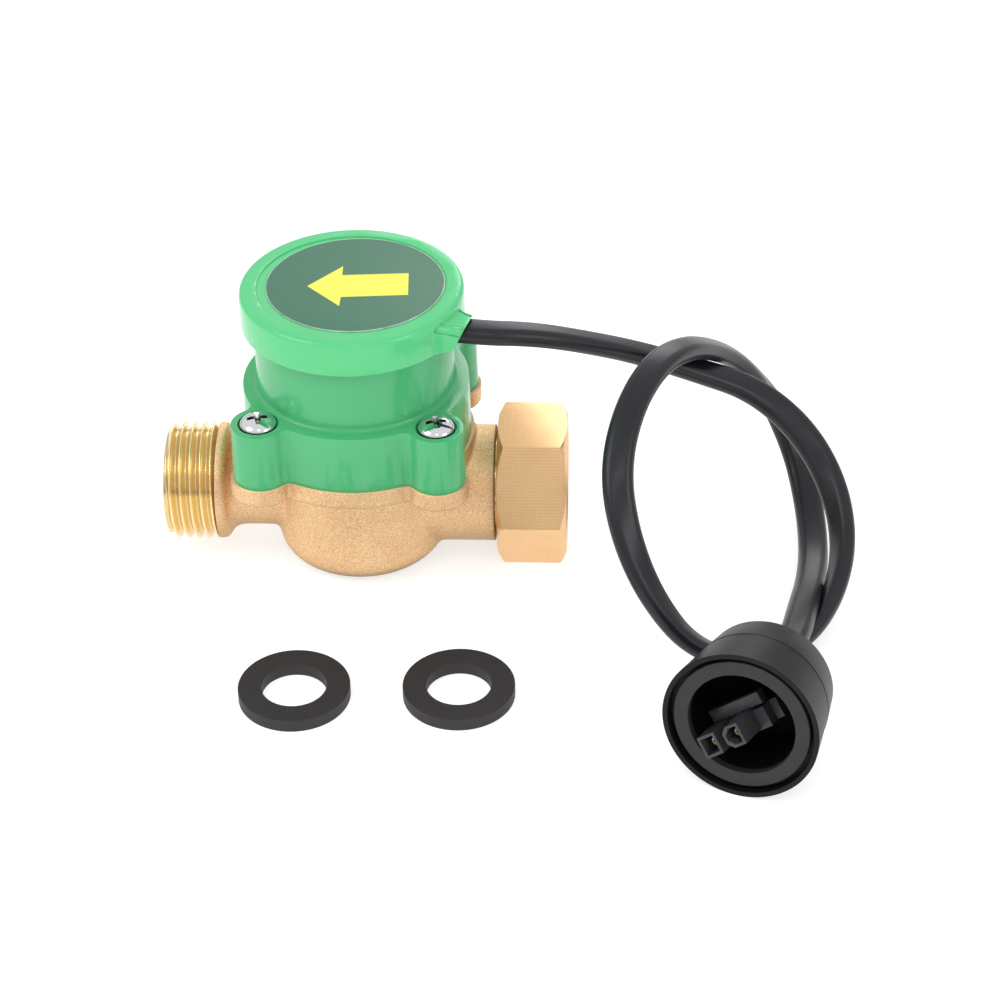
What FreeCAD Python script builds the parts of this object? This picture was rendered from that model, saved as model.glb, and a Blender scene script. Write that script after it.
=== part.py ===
"""Paddle flow switch for a half-inch water pipe, with its cord and terminal cap.

A cast brass body carries a male outlet thread and a swivelling union nut. A paddle wheel with
magnets turns in its chamber. A green housing, held by four screws, closes the chamber and holds
the sensing electronics, and a cap with the cord's exit closes the housing.

The chamber's axis is Z and its flat base is at Z = 0. Water flows along -X, in at the nut and
out at the male thread. All sizes are in millimetres and live in the sheet "Sizes".
"""

import FreeCAD, Part
import math
import os

import Sketcher
from FreeCAD import Placement, Rotation, Vector

SIZES = {
    # pipe line, measured outwards from the chamber's axis
    "nut_flats": 25.0,
    "thread_diameter": 20.955,
    "thread_length": 9.2,
    "thread_chamfer": 0.9,
    "neck_room": 3.1,
    "collar_length": 1.6,
    "collar_fillet": 2.4,
    "neck_radius": 7.9,
    "stub_radius": 10.4,
    "stub_reach": 24.2,
    "tail_radius": 8.0,
    "tail_length": 6.0,
    "waterway_radius": 6.0,
    # union nut and what holds it on the tail
    "nut_gap": 0.5,
    "nut_length": 12.25,
    "nut_lip": 2.2,
    "nut_thread_bore": 18.631,
    "nut_relief": 0.9,
    "nut_undercut": 0.2,
    "nut_undercut_gap": 0.4,
    "nut_running_gap": 0.05,
    "nut_end_gap": 0.3,
    "snap_width": 1.0,
    "snap_ring_width": 0.8,
    "snap_depth": 0.8,
    "snap_gap": 0.05,
    "snap_outer_radius": 9.0,
    "snap_opening": 5.0,
    # loose sealing washers
    "washer_diameter": 19.0,
    "washer_bore": 11.0,
    "washer_thickness": 2.4,
    # chamber and flange
    "chamber_radius": 15.2,
    "chamber_bore": 12.0,
    "chamber_floor": 2.6,
    "chamber_edge": 4.5,
    "cast_fillet": 2.0,
    "flange_top": 24.0,
    "flange_thickness": 3.4,
    "flange_overhang": 0.5,
    "seal_width": 1.5,
    "seal_height": 1.4,
    "seal_gap": 0.1,
    # housing
    "boss_spread": 15.3,
    "boss_turn": -1.4,
    "boss_radius": 4.9,
    "collar_radius": 20.0,
    "boss_fillet": 1.8,
    "draft_angle": 1.2,
    "block_height": 10.8,
    "drum_radius": 17.3,
    "drum_height": 14.4,
    "drum_foot": 0.75,
    "cavity_radius": 15.0,
    "ledge_width": 1.4,
    "partition_recess": 1.0,
    "partition": 2.0,
    "bearing_sink": 1.2,
    "bearing_wall": 1.2,
    "board_height": 7.0,
    # screws
    "screw_radius": 1.45,
    "screw_hole_gap": 0.15,
    "thread_hole_gap": 0.05,
    "screw_head_radius": 3.25,
    "screw_head_height": 2.0,
    "screw_dome": 1.3,
    "screw_recess": 0.6,
    "screw_recess_gap": 0.3,
    "screw_reach": 13.0,
    "cross_width": 0.9,
    "cross_span": 3.4,
    "cross_depth": 1.2,
    # shaft, bearings and paddle wheel
    "shaft_radius": 1.0,
    "bearing_radius": 2.0,
    "bearing_seat": 1.2,
    "bearing_height": 2.6,
    "bearing_fit": 0.02,
    "running_gap": 0.05,
    "wheel_end_gap": 0.3,
    "hub_radius": 3.2,
    "blade_radius": 11.2,
    "blade_thickness": 1.2,
    "blade_bottom": 5.6,
    "disc_radius": 10.6,
    "disc_thickness": 3.6,
    "wheel_top": 23.6,
    "magnet_radius": 2.0,
    "magnet_height": 2.6,
    "magnet_spread": 7.0,
    "magnet_fit": 0.03,
    # cap and label
    "cap_radius": 19.35,
    "cap_skirt": 1.85,
    "cap_rise": 4.4,
    "cap_shoulder": 1.0,
    "cap_roof": 1.85,
    "cap_fit": 0.1,
    "label_radius": 15.4,
    "label_thickness": 0.2,
    "label_recess": 0.25,
    "label_shift_x": 0.65,
    "label_shift_y": 0.3,
    "label_ring_radius": 16.4,
    "spout_azimuth": -14.0,
    "spout_offset": -3.2,
    "spout_reach": 21.9,
    "spout_root": 15.0,
    "spout_width": 6.2,
    "spout_root_flare": 2.2,
    "spout_root_rise": 1.9,
    "spout_throat": 19.2,
    "spout_throat_flare": 0.8,
    "spout_throat_rise": 0.95,
    "spout_lip": 0.4,
    "spout_corner": 1.5,
    "spout_mouth_foot": 20.0,
    "spout_mouth_slant": 25.0,
    # cord
    "cord_width": 5.3,
    "cord_thickness": 3.2,
    "cord_lift": 0.1,
    "slot_gap": 0.1,
    "ferrule_wall": 0.5,
    "ferrule_length": 2.0,
    "ferrule_shift": 0.3,
    "ferrule_fit": 0.02,
    "core_radius": 0.55,
    "core_spread": 0.8,
    # board and its parts
    "board_thickness": 1.2,
    "board_gap": 0.2,
    "sensor_length": 4.2,
    "sensor_width": 3.0,
    "sensor_height": 3.2,
    "triac_place": -9.5,
    "triac_thickness": 4.4,
    "triac_width": 9.8,
    "triac_height": 10.0,
    "triac_legs_place": -7.7,
    "triac_legs_thickness": 0.8,
    "triac_legs_width": 6.0,
    "triac_legs_height": 1.5,
    "capacitor_radius": 3.1,
    "capacitor_height": 9.0,
    "capacitor_x": 1.5,
    "capacitor_y": 8.0,
    "resistor_length": 6.4,
    "resistor_width": 2.4,
    "resistor_height": 2.2,
    "resistor_x": -4.0,
    "resistor_1_y": -10.5,
    "resistor_2_y": -6.4,
    # terminal cap and its connector
    "cup_radius": 13.1,
    "cup_waist_radius": 11.8,
    "cup_waist_depth": 9.2,
    "cup_step": 0.15,
    "cup_rear_radius": 10.7,
    "cup_depth": 16.3,
    "cup_edge": 1.0,
    "cup_rim": 0.85,
    "cup_floor": 2.6,
    "cup_cavity_radius": 10.4,
    "cup_cavity_end": 9.2,
    "ring_outer_radius": 11.4,
    "ring_inner_radius": 8.95,
    "ring_depth": 0.6,
    "ring_thickness": 1.5,
    "gland_radius": 4.0,
    "gland_length": 4.0,
    "cup_yaw": -20.0,
    "pole_pitch": 4.6,
    "pole_width": 3.3,
    "pole_wall": 0.45,
    "pole_length": 6.3,
    "block_width": 11.1,
    "block_thickness": 3.5,
    "block_aside": 0.45,
    "block_sink": 0.35,
    "rear_block_width": 11.2,
    "rear_block_thickness": 3.4,
    "rear_block_length": 3.4,
    "rear_block_aside": 1.8,
    "rear_block_sink": 0.2,
    "pole_height": 3.75,
    "pole_chamfer": 1.0,
    "block_length": 2.5,
    "connector_turn": 38.0,
    "connector_tip": -9.0,
    "connector_out": 1.2,
    "latch_width": 9.8,
    "latch_aside": 1.4,
    "latch_thickness": 2.1,
    "latch_length": 2.2,
    "latch_gap": 0.5,
    "latch_foot": 1.5,
    "pin_radius": 0.75,
    "pin_bore": 0.4,
    "pin_length": 4.1,
    "plug_lead_radius": 0.6,
}

# Where the two loose washers lie, and where the middle of the terminal cap's rim stands.
WASHER_PLACES = {"washer_left": (-8.3, -45.6), "washer_right": (19.5, -44.7)}
CUP_MOUTH = (65.7, -67.6)
CONNECTOR_SHIFT = (-2.5, -2.7)

# Where the cord's two cores meet the board, and how they run there.
CORE_ENDS = {"lead_live": (-1, 5.4, -7.0), "lead_neutral": (1, 5.4, -2.2)}
CORE_STRAIGHT = 3.2
CORE_DROP = 12.0

# The cord's route, from inside the housing, over one standing loop, to the terminal cap.
CORD_ROUTE = [
    (10.4, -5.9, 49.3),
    (21.5, -8.6, 49.4),
    (31.2, -5.9, 47.6),
    (40.4, -1.7, 43.4),
    (49.5, 2.8, 38.4),
    (59.3, 5.8, 33.1),
    (69.9, 6.8, 28.6),
    (78.6, 3.2, 22.4),
    (84.2, -3.7, 15.2),
    (85.9, -12.8, 9.0),
    (83.6, -22.5, 4.4),
    (77.9, -31.8, 1.8),
    (68.6, -37.9, 2.2),
    (58.8, -40.3, 7.0),
    (51.8, -38.7, 16.3),
    (47.3, -34.6, 25.8),
    (45.4, -27.9, 34.4),
    (47.5, -19.0, 41.0),
    (52.0, -9.1, 43.7),
    (57.2, 0.4, 41.1),
    (62.1, 9.1, 35.5),
    (67.7, 15.8, 28.6),
    (73.5, 18.3, 19.4),
    (78.7, 14.5, 10.1),
    (80.9, 5.4, 3.9),
    (81.2, -5.6, 1.8),
    (79.9, -17.0, 3.5),
    (77.9, -28.0, 6.6),
    (75.81, -39.81, 9.3),
]

doc = FreeCAD.newDocument("paddle_flow_switch")
sheet = doc.addObject("Spreadsheet::Sheet", "Sizes")
for row, (alias, value) in enumerate(SIZES.items(), start=1):
    sheet.set(f"A{row}", alias)
    sheet.set(f"B{row}", str(value))
    sheet.setAlias(f"B{row}", alias)
doc.recompute()

NODES = []

# How big a polygon is drawn before its constraints pull it into shape.
DRAFT_SIZE = 10


def size(alias):
    """The value of one cell of the sheet."""
    return float(sheet.get(alias))


def bind(item, **formulas):
    """Ties properties to formulas on the sheet; x, y and z stand for the placement's base."""
    for key, formula in formulas.items():
        name = f"Placement.Base.{key}" if key in ("x", "y", "z") else key
        item.setExpression(name, formula)
    return item


def node(item, label):
    """Marks an object as one of the finished pieces and gives it its node name."""
    item.Label = label
    NODES.append(item)
    return item


def cylinder(name, radius, height, **place):
    return bind(doc.addObject("Part::Cylinder", name), Radius=radius, Height=height, **place)


def box(name, length, width, height, **place):
    return bind(doc.addObject("Part::Box", name), Length=length, Width=width, Height=height, **place)


def cut(name, base, tool):
    item = doc.addObject("Part::Cut", name)
    item.Base, item.Tool = base, tool
    return item


def fuse(name, pieces):
    item = doc.addObject("Part::MultiFuse", name)
    item.Shapes = pieces
    return item


def tube(name, outer, inner, height, **place):
    """A ring or bush: a cylinder with a concentric bore."""
    return cut(
        name,
        cylinder(name + "_outer", outer, height, **place),
        cylinder(name + "_bore", inner, height, **place),
    )


def new_sketch(body, name, role, shift_x="0", shift_y="0", height="0", turn=0.0):
    """A sketch on one of the body's own origin planes, moved along and off that plane."""
    sketch = body.newObject("Sketcher::SketchObject", name)
    plane = [item for item in body.Origin.OriginFeatures if item.Role == role][0]
    sketch.AttachmentSupport = [(plane, "")]
    sketch.MapMode = "FlatFace"
    sketch.AttachmentOffset = Placement(Vector(), Rotation(Vector(0, 0, 1), turn))
    for axis, formula in (("x", shift_x), ("y", shift_y), ("z", height)):
        sketch.setExpression(f"AttachmentOffset.Base.{axis}", formula)
    return sketch


def outline(sketch, corners):
    """A closed polygon whose corners' two coordinates are formulas on the sheet."""
    count = len(corners)
    start = [
        Vector(math.cos(2 * math.pi * i / count), math.sin(2 * math.pi * i / count), 0) * DRAFT_SIZE
        for i in range(count)
    ]
    first = sketch.GeometryCount
    for i in range(count):
        sketch.addGeometry(Part.LineSegment(start[i], start[(i + 1) % count]), False)
    for i in range(count):
        following = first + (i + 1) % count
        sketch.addConstraint(Sketcher.Constraint("Coincident", first + i, 2, following, 1))
    for i, pair in enumerate(corners):
        for kind, at, formula in zip(("DistanceX", "DistanceY"), (start[i].x, start[i].y), pair):
            index = sketch.addConstraint(Sketcher.Constraint(kind, -1, 1, first + i, 1, at))
            sketch.setExpression(f"Constraints[{index}]", formula)
    return sketch


def circles(sketch, radius, centres):
    """Circles of one radius at centres given as pairs of formulas."""
    for place_x, place_y in centres:
        index = sketch.addGeometry(Part.Circle(Vector(3, 3, 0), Vector(0, 0, 1), 2.0), False)
        for kind, formula in (("DistanceX", place_x), ("DistanceY", place_y)):
            number = sketch.addConstraint(Sketcher.Constraint(kind, -1, 1, index, 3, 3.0))
            sketch.setExpression(f"Constraints[{number}]", formula)
        number = sketch.addConstraint(Sketcher.Constraint("Radius", index, 2.0))
        sketch.setExpression(f"Constraints[{number}]", radius)
    return sketch


def centred(width, height):
    """The corners of a rectangle about the sketch's origin."""
    return [
        (f"-({width}) / 2", f"-({height}) / 2"),
        (f"({width}) / 2", f"-({height}) / 2"),
        (f"({width}) / 2", f"({height}) / 2"),
        (f"-({width}) / 2", f"({height}) / 2"),
    ]


def feature(body, kind, name, sketch, **formulas):
    """A pad, pocket, revolution or groove of a sketch, with its sizes as formulas."""
    item = body.newObject(f"PartDesign::{kind}", name)
    item.Profile = sketch
    if kind in ("Revolution", "Groove"):
        item.ReferenceAxis = (sketch, ["V_Axis"])
        item.Angle = 360
    for key, formula in formulas.items():
        item.setExpression(key, formula)
    sketch.Visibility = False
    return item


def about_pipe(item, sketch):
    """Turns a revolved feature about its sketch's horizontal axis instead."""
    item.ReferenceAxis = (sketch, ["H_Axis"])
    return item


def edges_where(shape, test):
    """Names of the edges whose curve passes the test."""
    return [f"Edge{i}" for i, edge in enumerate(shape.Edges, start=1) if test(edge)]


def round_edges(body, name, base, test, radius):
    """A fillet on every edge of a feature that passes the test."""
    doc.recompute()
    names = edges_where(base.Shape, test)
    item = body.newObject("PartDesign::Fillet", name)
    item.Base = (base, names)
    item.setExpression("Radius", radius)
    doc.recompute()
    return item


def ring_at(radius, height):
    """A test for a circular edge about Z with that radius, at that height."""

    def test(edge):
        curve = edge.Curve
        return (
            isinstance(curve, Part.Circle)
            and abs(curve.Radius - radius) < 1e-4
            and abs(curve.Center.z - height) < 1e-4
            and math.hypot(curve.Center.x, curve.Center.y) < 1e-4
        )

    return test


def on_chamber_wall(radius):
    """A test for the curved edge where the outlet's neck meets the chamber's wall."""

    def test(edge):
        low, high = edge.ParameterRange
        points = [edge.valueAt(low + (high - low) * share) for share in (0.0, 0.3, 0.6, 1.0)]
        heights = [point.z for point in points]
        round_wall = all(abs(math.hypot(point.x, point.y) - radius) < 1e-3 for point in points)
        return round_wall and points[0].x < 0 and max(heights) - min(heights) > radius / 4

    return test


def ring_on_pipe(radius):
    """A test for a full circular edge about the pipe's axis with that radius."""

    def test(edge):
        curve = edge.Curve
        return (
            isinstance(curve, Part.Circle)
            and abs(curve.Radius - radius) < 1e-4
            and abs(curve.Axis.x) > 0.999
            and abs(curve.Center.y) < 1e-4
        )

    return test


PIPE = "Sizes.nut_flats / 2"
THREAD = "Sizes.thread_diameter / 2"
TAIL_END = "(Sizes.stub_reach + Sizes.tail_length)"
BOSS_COS, BOSS_SIN = "cos(Sizes.boss_turn * 1 deg)", "sin(Sizes.boss_turn * 1 deg)"
FOUR_BOSSES = [
    (
        f"Sizes.boss_spread * ({a} * {BOSS_COS} - {b} * {BOSS_SIN})",
        f"Sizes.boss_spread * ({a} * {BOSS_SIN} + {b} * {BOSS_COS})",
    )
    for a in (-1, 1)
    for b in (-1, 1)
]
COLLAR_END = "(Sizes.collar_radius + Sizes.flange_overhang + Sizes.neck_room)"
OUTLET_END = f"({COLLAR_END} + Sizes.collar_length + Sizes.thread_length)"
LEDGE = "(Sizes.flange_top + Sizes.block_height)"
DRUM_TOP = "(Sizes.flange_top + Sizes.block_height + Sizes.drum_height)"
CAVITY_FLOOR = "(Sizes.flange_top + Sizes.partition_recess + Sizes.partition)"
CAP_TOP = f"({DRUM_TOP} + Sizes.cap_rise)"
CAP_BOTTOM = f"({DRUM_TOP} - Sizes.cap_skirt)"
CORD_LINE = f"({DRUM_TOP} + Sizes.cord_lift)"
BOARD = "(Sizes.flange_top + Sizes.board_height)"


def vertical_between(low, high):
    """A test for a straight edge, upright or nearly so, that runs between two heights."""

    def test(edge):
        heights = sorted(vertex.Z for vertex in edge.Vertexes)
        if len(heights) != 2:
            return False
        return abs(heights[0] - low) < 0.01 and abs(heights[1] - high) < 0.01

    return test


def lobed_block(body, prefix, bottom, height, overhang, taper):
    """The four-lobed block that the flange and the housing share: a round with four bosses."""
    middle = new_sketch(body, prefix + "_round", "XY_Plane", height=bottom)
    circles(middle, f"Sizes.collar_radius + {overhang}", [("0", "0")])
    pad = feature(body, "Pad", prefix + "_pad", middle, Length=height)
    corners = new_sketch(body, prefix + "_bosses", "XY_Plane", height=bottom)
    circles(corners, f"Sizes.boss_radius + {overhang}", FOUR_BOSSES)
    bosses = feature(body, "Pad", prefix + "_boss_pad", corners, Length=height)
    if taper:
        for item in (pad, bosses):
            item.setExpression("TaperAngle", taper)
    return bosses


def brass_body():
    """Cast body: chamber, flange, outlet neck with its thread and inlet stub with its tail."""
    body = doc.addObject("PartDesign::Body", "BrassBody")
    flange_bottom = "(Sizes.flange_top - Sizes.flange_thickness)"
    last = lobed_block(
        body, "flange", flange_bottom, "Sizes.flange_thickness", "Sizes.flange_overhang", None
    )
    last = round_edges(
        body,
        "flange_hollows",
        last,
        vertical_between(size("flange_top") - size("flange_thickness"), size("flange_top")),
        "Sizes.boss_fillet",
    )
    wall = new_sketch(body, "chamber_wall", "XY_Plane")
    circles(wall, "Sizes.chamber_radius", [("0", "0")])
    last = feature(body, "Pad", "chamber", wall, Length="Sizes.flange_top")
    last = round_edges(
        body, "base_edge", last, ring_at(size("chamber_radius"), 0), "Sizes.chamber_edge"
    )
    outlet = new_sketch(body, "outlet_profile", "XZ_Plane", shift_y=PIPE)
    outline(
        outlet,
        [
            ("0", "0"),
            (f"-{OUTLET_END}", "0"),
            (f"-{OUTLET_END}", f"{THREAD} - Sizes.thread_chamfer"),
            (f"-{OUTLET_END} + Sizes.thread_chamfer", THREAD),
            (f"-{COLLAR_END}", THREAD),
            (f"-{COLLAR_END}", "Sizes.neck_radius"),
            ("0", "Sizes.neck_radius"),
        ],
    )
    last = about_pipe(feature(body, "Revolution", "outlet", outlet), outlet)
    last = round_edges(
        body, "collar_hollow", last, ring_on_pipe(size("neck_radius")), "Sizes.collar_fillet"
    )
    inlet = new_sketch(body, "inlet_profile", "XZ_Plane", shift_y=PIPE)
    groove_start = (
        "(Sizes.stub_reach + Sizes.nut_gap + Sizes.nut_lip + Sizes.nut_end_gap)"
    )
    outline(
        inlet,
        [
            ("0", "0"),
            ("0", "Sizes.stub_radius"),
            ("Sizes.stub_reach", "Sizes.stub_radius"),
            ("Sizes.stub_reach", "Sizes.tail_radius"),
            (groove_start, "Sizes.tail_radius"),
            (groove_start, "Sizes.tail_radius - Sizes.snap_depth"),
            (f"{groove_start} + Sizes.snap_width", "Sizes.tail_radius - Sizes.snap_depth"),
            (f"{groove_start} + Sizes.snap_width", "Sizes.tail_radius"),
            (TAIL_END, "Sizes.tail_radius"),
            (TAIL_END, "0"),
        ],
    )
    last = about_pipe(feature(body, "Revolution", "inlet", inlet), inlet)
    last = round_edges(
        body, "cast_blends", last, on_chamber_wall(size("chamber_radius")), "Sizes.cast_fillet"
    )
    bore = new_sketch(body, "chamber_hollow", "XZ_Plane")
    seat_radius = "Sizes.chamber_bore + Sizes.seal_width + 2 * Sizes.seal_gap"
    outline(
        bore,
        [
            ("0", "Sizes.chamber_floor - Sizes.bearing_seat"),
            ("Sizes.bearing_radius + Sizes.bearing_fit", "Sizes.chamber_floor - Sizes.bearing_seat"),
            ("Sizes.bearing_radius + Sizes.bearing_fit", "Sizes.chamber_floor"),
            ("Sizes.chamber_bore", "Sizes.chamber_floor"),
            ("Sizes.chamber_bore", "Sizes.flange_top - Sizes.seal_height"),
            (seat_radius, "Sizes.flange_top - Sizes.seal_height"),
            (seat_radius, "Sizes.flange_top + 1"),
            ("0", "Sizes.flange_top + 1"),
        ],
    )
    last = feature(body, "Groove", "chamber_bore", bore)
    waterway = new_sketch(body, "waterway_circle", "YZ_Plane", shift_y=PIPE)
    circles(waterway, "Sizes.waterway_radius", [("0", "0")])
    last = feature(body, "Pocket", "waterway", waterway)
    last.Type = "ThroughAll"
    last.Midplane = True
    holes = new_sketch(body, "thread_holes", "XY_Plane", height="Sizes.flange_top")
    circles(holes, "Sizes.screw_radius + Sizes.thread_hole_gap", FOUR_BOSSES)
    last = feature(body, "Pocket", "screw_threads", holes, Length="Sizes.flange_thickness")
    body.Tip = last
    doc.recompute()
    return node(body, "brass_body")


def union_nut():
    """Hexagon nut: a lip that turns on the tail and a bore for the inlet thread."""
    body = doc.addObject("PartDesign::Body", "UnionNut")
    start = "(Sizes.stub_reach + Sizes.nut_gap)"
    corner = "Sizes.nut_flats / cos(30 deg) / 2"
    hexagon = new_sketch(body, "nut_hexagon", "YZ_Plane", shift_y=PIPE, height=start)
    outline(
        hexagon,
        [(f"{corner} * sin({60 * i + 30} deg)", f"{corner} * cos({60 * i + 30} deg)") for i in range(6)],
    )
    feature(body, "Pad", "nut_block", hexagon, Length="Sizes.nut_length")
    far = f"({start} + Sizes.nut_length)"
    for name, face, inward in (("near", start, "+"), ("far", far, "-")):
        chamfer = new_sketch(body, f"nut_{name}_chamfer", "XZ_Plane", shift_y=PIPE)
        outline(
            chamfer,
            [
                (face, "Sizes.nut_flats / 2"),
                (face, "Sizes.nut_flats"),
                (f"{face} {inward} Sizes.nut_flats / 2 * tan(30 deg)", "Sizes.nut_flats"),
            ],
        )
        about_pipe(feature(body, "Groove", f"nut_{name}_cone", chamfer), chamfer)
    hollow = new_sketch(body, "nut_hollow", "XZ_Plane", shift_y=PIPE)
    lip_end = f"({start} + Sizes.nut_lip)"
    thread = "Sizes.nut_thread_bore / 2"
    lip_bore = "Sizes.tail_radius + Sizes.nut_running_gap"
    undercut = "Sizes.thread_diameter / 2 + Sizes.nut_undercut"
    undercut_end = f"{TAIL_END} + Sizes.nut_undercut_gap"
    outline(
        hollow,
        [
            (f"{start} - 1", "0"),
            (f"{start} - 1", lip_bore),
            (lip_end, lip_bore),
            (lip_end, undercut),
            (undercut_end, undercut),
            (undercut_end, thread),
            (f"{far} - Sizes.nut_relief", thread),
            (f"{far}", f"{thread} + Sizes.nut_relief"),
            (f"{far} + 1", f"{thread} + Sizes.nut_relief"),
            (f"{far} + 1", "0"),
        ],
    )
    about_pipe(feature(body, "Groove", "nut_bore", hollow), hollow)
    doc.recompute()
    return node(body, "union_nut")


def snap_ring():
    """Split ring in the tail's groove that keeps the nut on."""
    groove = "Sizes.stub_reach + Sizes.nut_gap + Sizes.nut_lip + Sizes.nut_end_gap"
    place = f"{groove} + (Sizes.snap_width - Sizes.snap_ring_width) / 2"
    ring = tube(
        "SnapRing",
        "Sizes.snap_outer_radius",
        "Sizes.tail_radius - Sizes.snap_depth + Sizes.snap_gap",
        "Sizes.snap_ring_width",
    )
    opening = box(
        "SnapOpening",
        "Sizes.snap_outer_radius",
        "Sizes.snap_opening",
        "Sizes.snap_width",
        y="-Sizes.snap_opening / 2",
    )
    item = cut("SplitRing", ring, opening)
    item.Placement = Placement(Vector(), Rotation(Vector(0, 1, 0), 90))
    bind(item, x=place, z=PIPE)
    return node(item, "nut_snap_ring")


def washers():
    """Flat rubber sealing washers, supplied loose."""
    for label, (place_x, place_y) in WASHER_PLACES.items():
        ring = tube(
            label + "_ring", "Sizes.washer_diameter / 2", "Sizes.washer_bore / 2", "Sizes.washer_thickness"
        )
        ring.Placement.Base = Vector(place_x, place_y, 0)
        node(ring, label)


def chamber_seal():
    """Rubber ring in the seat round the chamber's mouth."""
    inner = "Sizes.chamber_bore + Sizes.seal_gap"
    ring = tube(
        "ChamberSeal",
        f"{inner} + Sizes.seal_width",
        inner,
        "Sizes.seal_height",
        z="Sizes.flange_top - Sizes.seal_height",
    )
    node(ring, "chamber_seal")


def sensor_housing():
    """Moulded housing: four screw bosses, a collar and a drum round the electronics cavity."""
    body = doc.addObject("PartDesign::Body", "SensorHousing")
    last = lobed_block(
        body, "block", "Sizes.flange_top", "Sizes.block_height", "0", "-Sizes.draft_angle"
    )
    low, high = size("flange_top"), size("flange_top") + size("block_height")
    last = round_edges(
        body, "block_hollows", last, vertical_between(low, high), "Sizes.boss_fillet"
    )
    drum = new_sketch(body, "drum_circle", "XY_Plane", height=LEDGE)
    circles(drum, "Sizes.drum_radius", [("0", "0")])
    last = feature(body, "Pad", "drum", drum, Length="Sizes.drum_height")
    round_edges(body, "drum_foot", last, ring_at(size("drum_radius"), high), "Sizes.drum_foot")
    cavity = new_sketch(body, "cavity_profile", "XZ_Plane")
    bearing = "Sizes.bearing_radius + Sizes.bearing_fit"
    inner = "Sizes.cavity_radius - Sizes.ledge_width"
    dome = "Sizes.bearing_radius + Sizes.partition"
    bearing_top = f"({CAVITY_FLOOR} - Sizes.bearing_sink + Sizes.bearing_height)"
    outline(
        cavity,
        [
            ("0", f"{bearing_top} + Sizes.bearing_wall"),
            (dome, f"{bearing_top} + Sizes.bearing_wall"),
            (dome, CAVITY_FLOOR),
            (inner, CAVITY_FLOOR),
            (inner, BOARD),
            ("Sizes.cavity_radius", BOARD),
            ("Sizes.cavity_radius", f"{DRUM_TOP} + 1"),
            ("0", f"{DRUM_TOP} + 1"),
        ],
    )
    feature(body, "Groove", "cavity", cavity)
    wet_side = new_sketch(body, "wet_side_profile", "XZ_Plane")
    recess = "(Sizes.flange_top + Sizes.partition_recess)"
    outline(
        wet_side,
        [
            ("0", "Sizes.flange_top - 1"),
            ("Sizes.chamber_bore", "Sizes.flange_top - 1"),
            ("Sizes.chamber_bore", recess),
            (bearing, recess),
            (bearing, bearing_top),
            ("0", bearing_top),
        ],
    )
    feature(body, "Groove", "wet_side", wet_side)
    holes = new_sketch(body, "screw_holes", "XY_Plane", height=LEDGE)
    circles(holes, "Sizes.screw_radius + Sizes.screw_hole_gap", FOUR_BOSSES)
    feature(body, "Pocket", "screw_clearance", holes, Length="Sizes.block_height")
    seats = new_sketch(body, "screw_seats", "XY_Plane", height=LEDGE)
    circles(seats, "Sizes.screw_head_radius + Sizes.screw_recess_gap", FOUR_BOSSES)
    feature(body, "Pocket", "screw_recesses", seats, Length="Sizes.screw_recess")
    notch = new_sketch(
        body, "cord_notch", "XY_Plane", height=DRUM_TOP, turn=size("spout_azimuth")
    )
    half = "(Sizes.cord_width / 2 + Sizes.slot_gap)"
    outline(
        notch,
        [
            ("Sizes.cavity_radius / 2", f"Sizes.spout_offset - {half}"),
            ("Sizes.drum_radius + 1", f"Sizes.spout_offset - {half}"),
            ("Sizes.drum_radius + 1", f"Sizes.spout_offset + {half}"),
            ("Sizes.cavity_radius / 2", f"Sizes.spout_offset + {half}"),
        ],
    )
    body.Tip = feature(
        body,
        "Pocket",
        "cord_slot",
        notch,
        Length="Sizes.cord_thickness / 2 + Sizes.slot_gap - Sizes.cord_lift",
    )
    doc.recompute()
    return node(body, "sensor_housing")


def housing_screw(number, place_x, place_y):
    """Pan-head screw with a cross recess, through a boss into the flange."""
    body = doc.addObject("PartDesign::Body", f"Screw{number}")
    profile = new_sketch(body, f"screw_profile_{number}", "XZ_Plane")
    outline(
        profile,
        [
            ("0", "-Sizes.screw_reach"),
            ("Sizes.screw_radius", "-Sizes.screw_reach"),
            ("Sizes.screw_radius", "0"),
            ("Sizes.screw_head_radius", "0"),
            ("Sizes.screw_head_radius", "Sizes.screw_head_height"),
            ("0", "Sizes.screw_head_height"),
        ],
    )
    turned = feature(body, "Revolution", f"screw_turned_{number}", profile)
    round_edges(
        body,
        f"screw_dome_{number}",
        turned,
        ring_at(size("screw_head_radius"), size("screw_head_height")),
        "Sizes.screw_dome",
    )
    cross = new_sketch(body, f"screw_cross_{number}", "XY_Plane", height="Sizes.screw_head_height")
    thin, long = "Sizes.cross_width / 2", "Sizes.cross_span / 2"
    corners = [(thin, thin), (thin, long), (f"-{thin}", long), (f"-{thin}", thin)]
    corners += [(f"-{long}", thin), (f"-{long}", f"-{thin}"), (f"-{thin}", f"-{thin}")]
    corners += [(f"-{thin}", f"-{long}"), (thin, f"-{long}"), (thin, f"-{thin}")]
    corners += [(long, f"-{thin}"), (long, thin)]
    outline(cross, corners)
    body.Tip = feature(body, "Pocket", f"screw_drive_{number}", cross, Length="Sizes.cross_depth")
    bind(body, x=place_x, y=place_y, z=f"{LEDGE} - Sizes.screw_recess")
    node(body, f"housing_screw_{number}")


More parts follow.
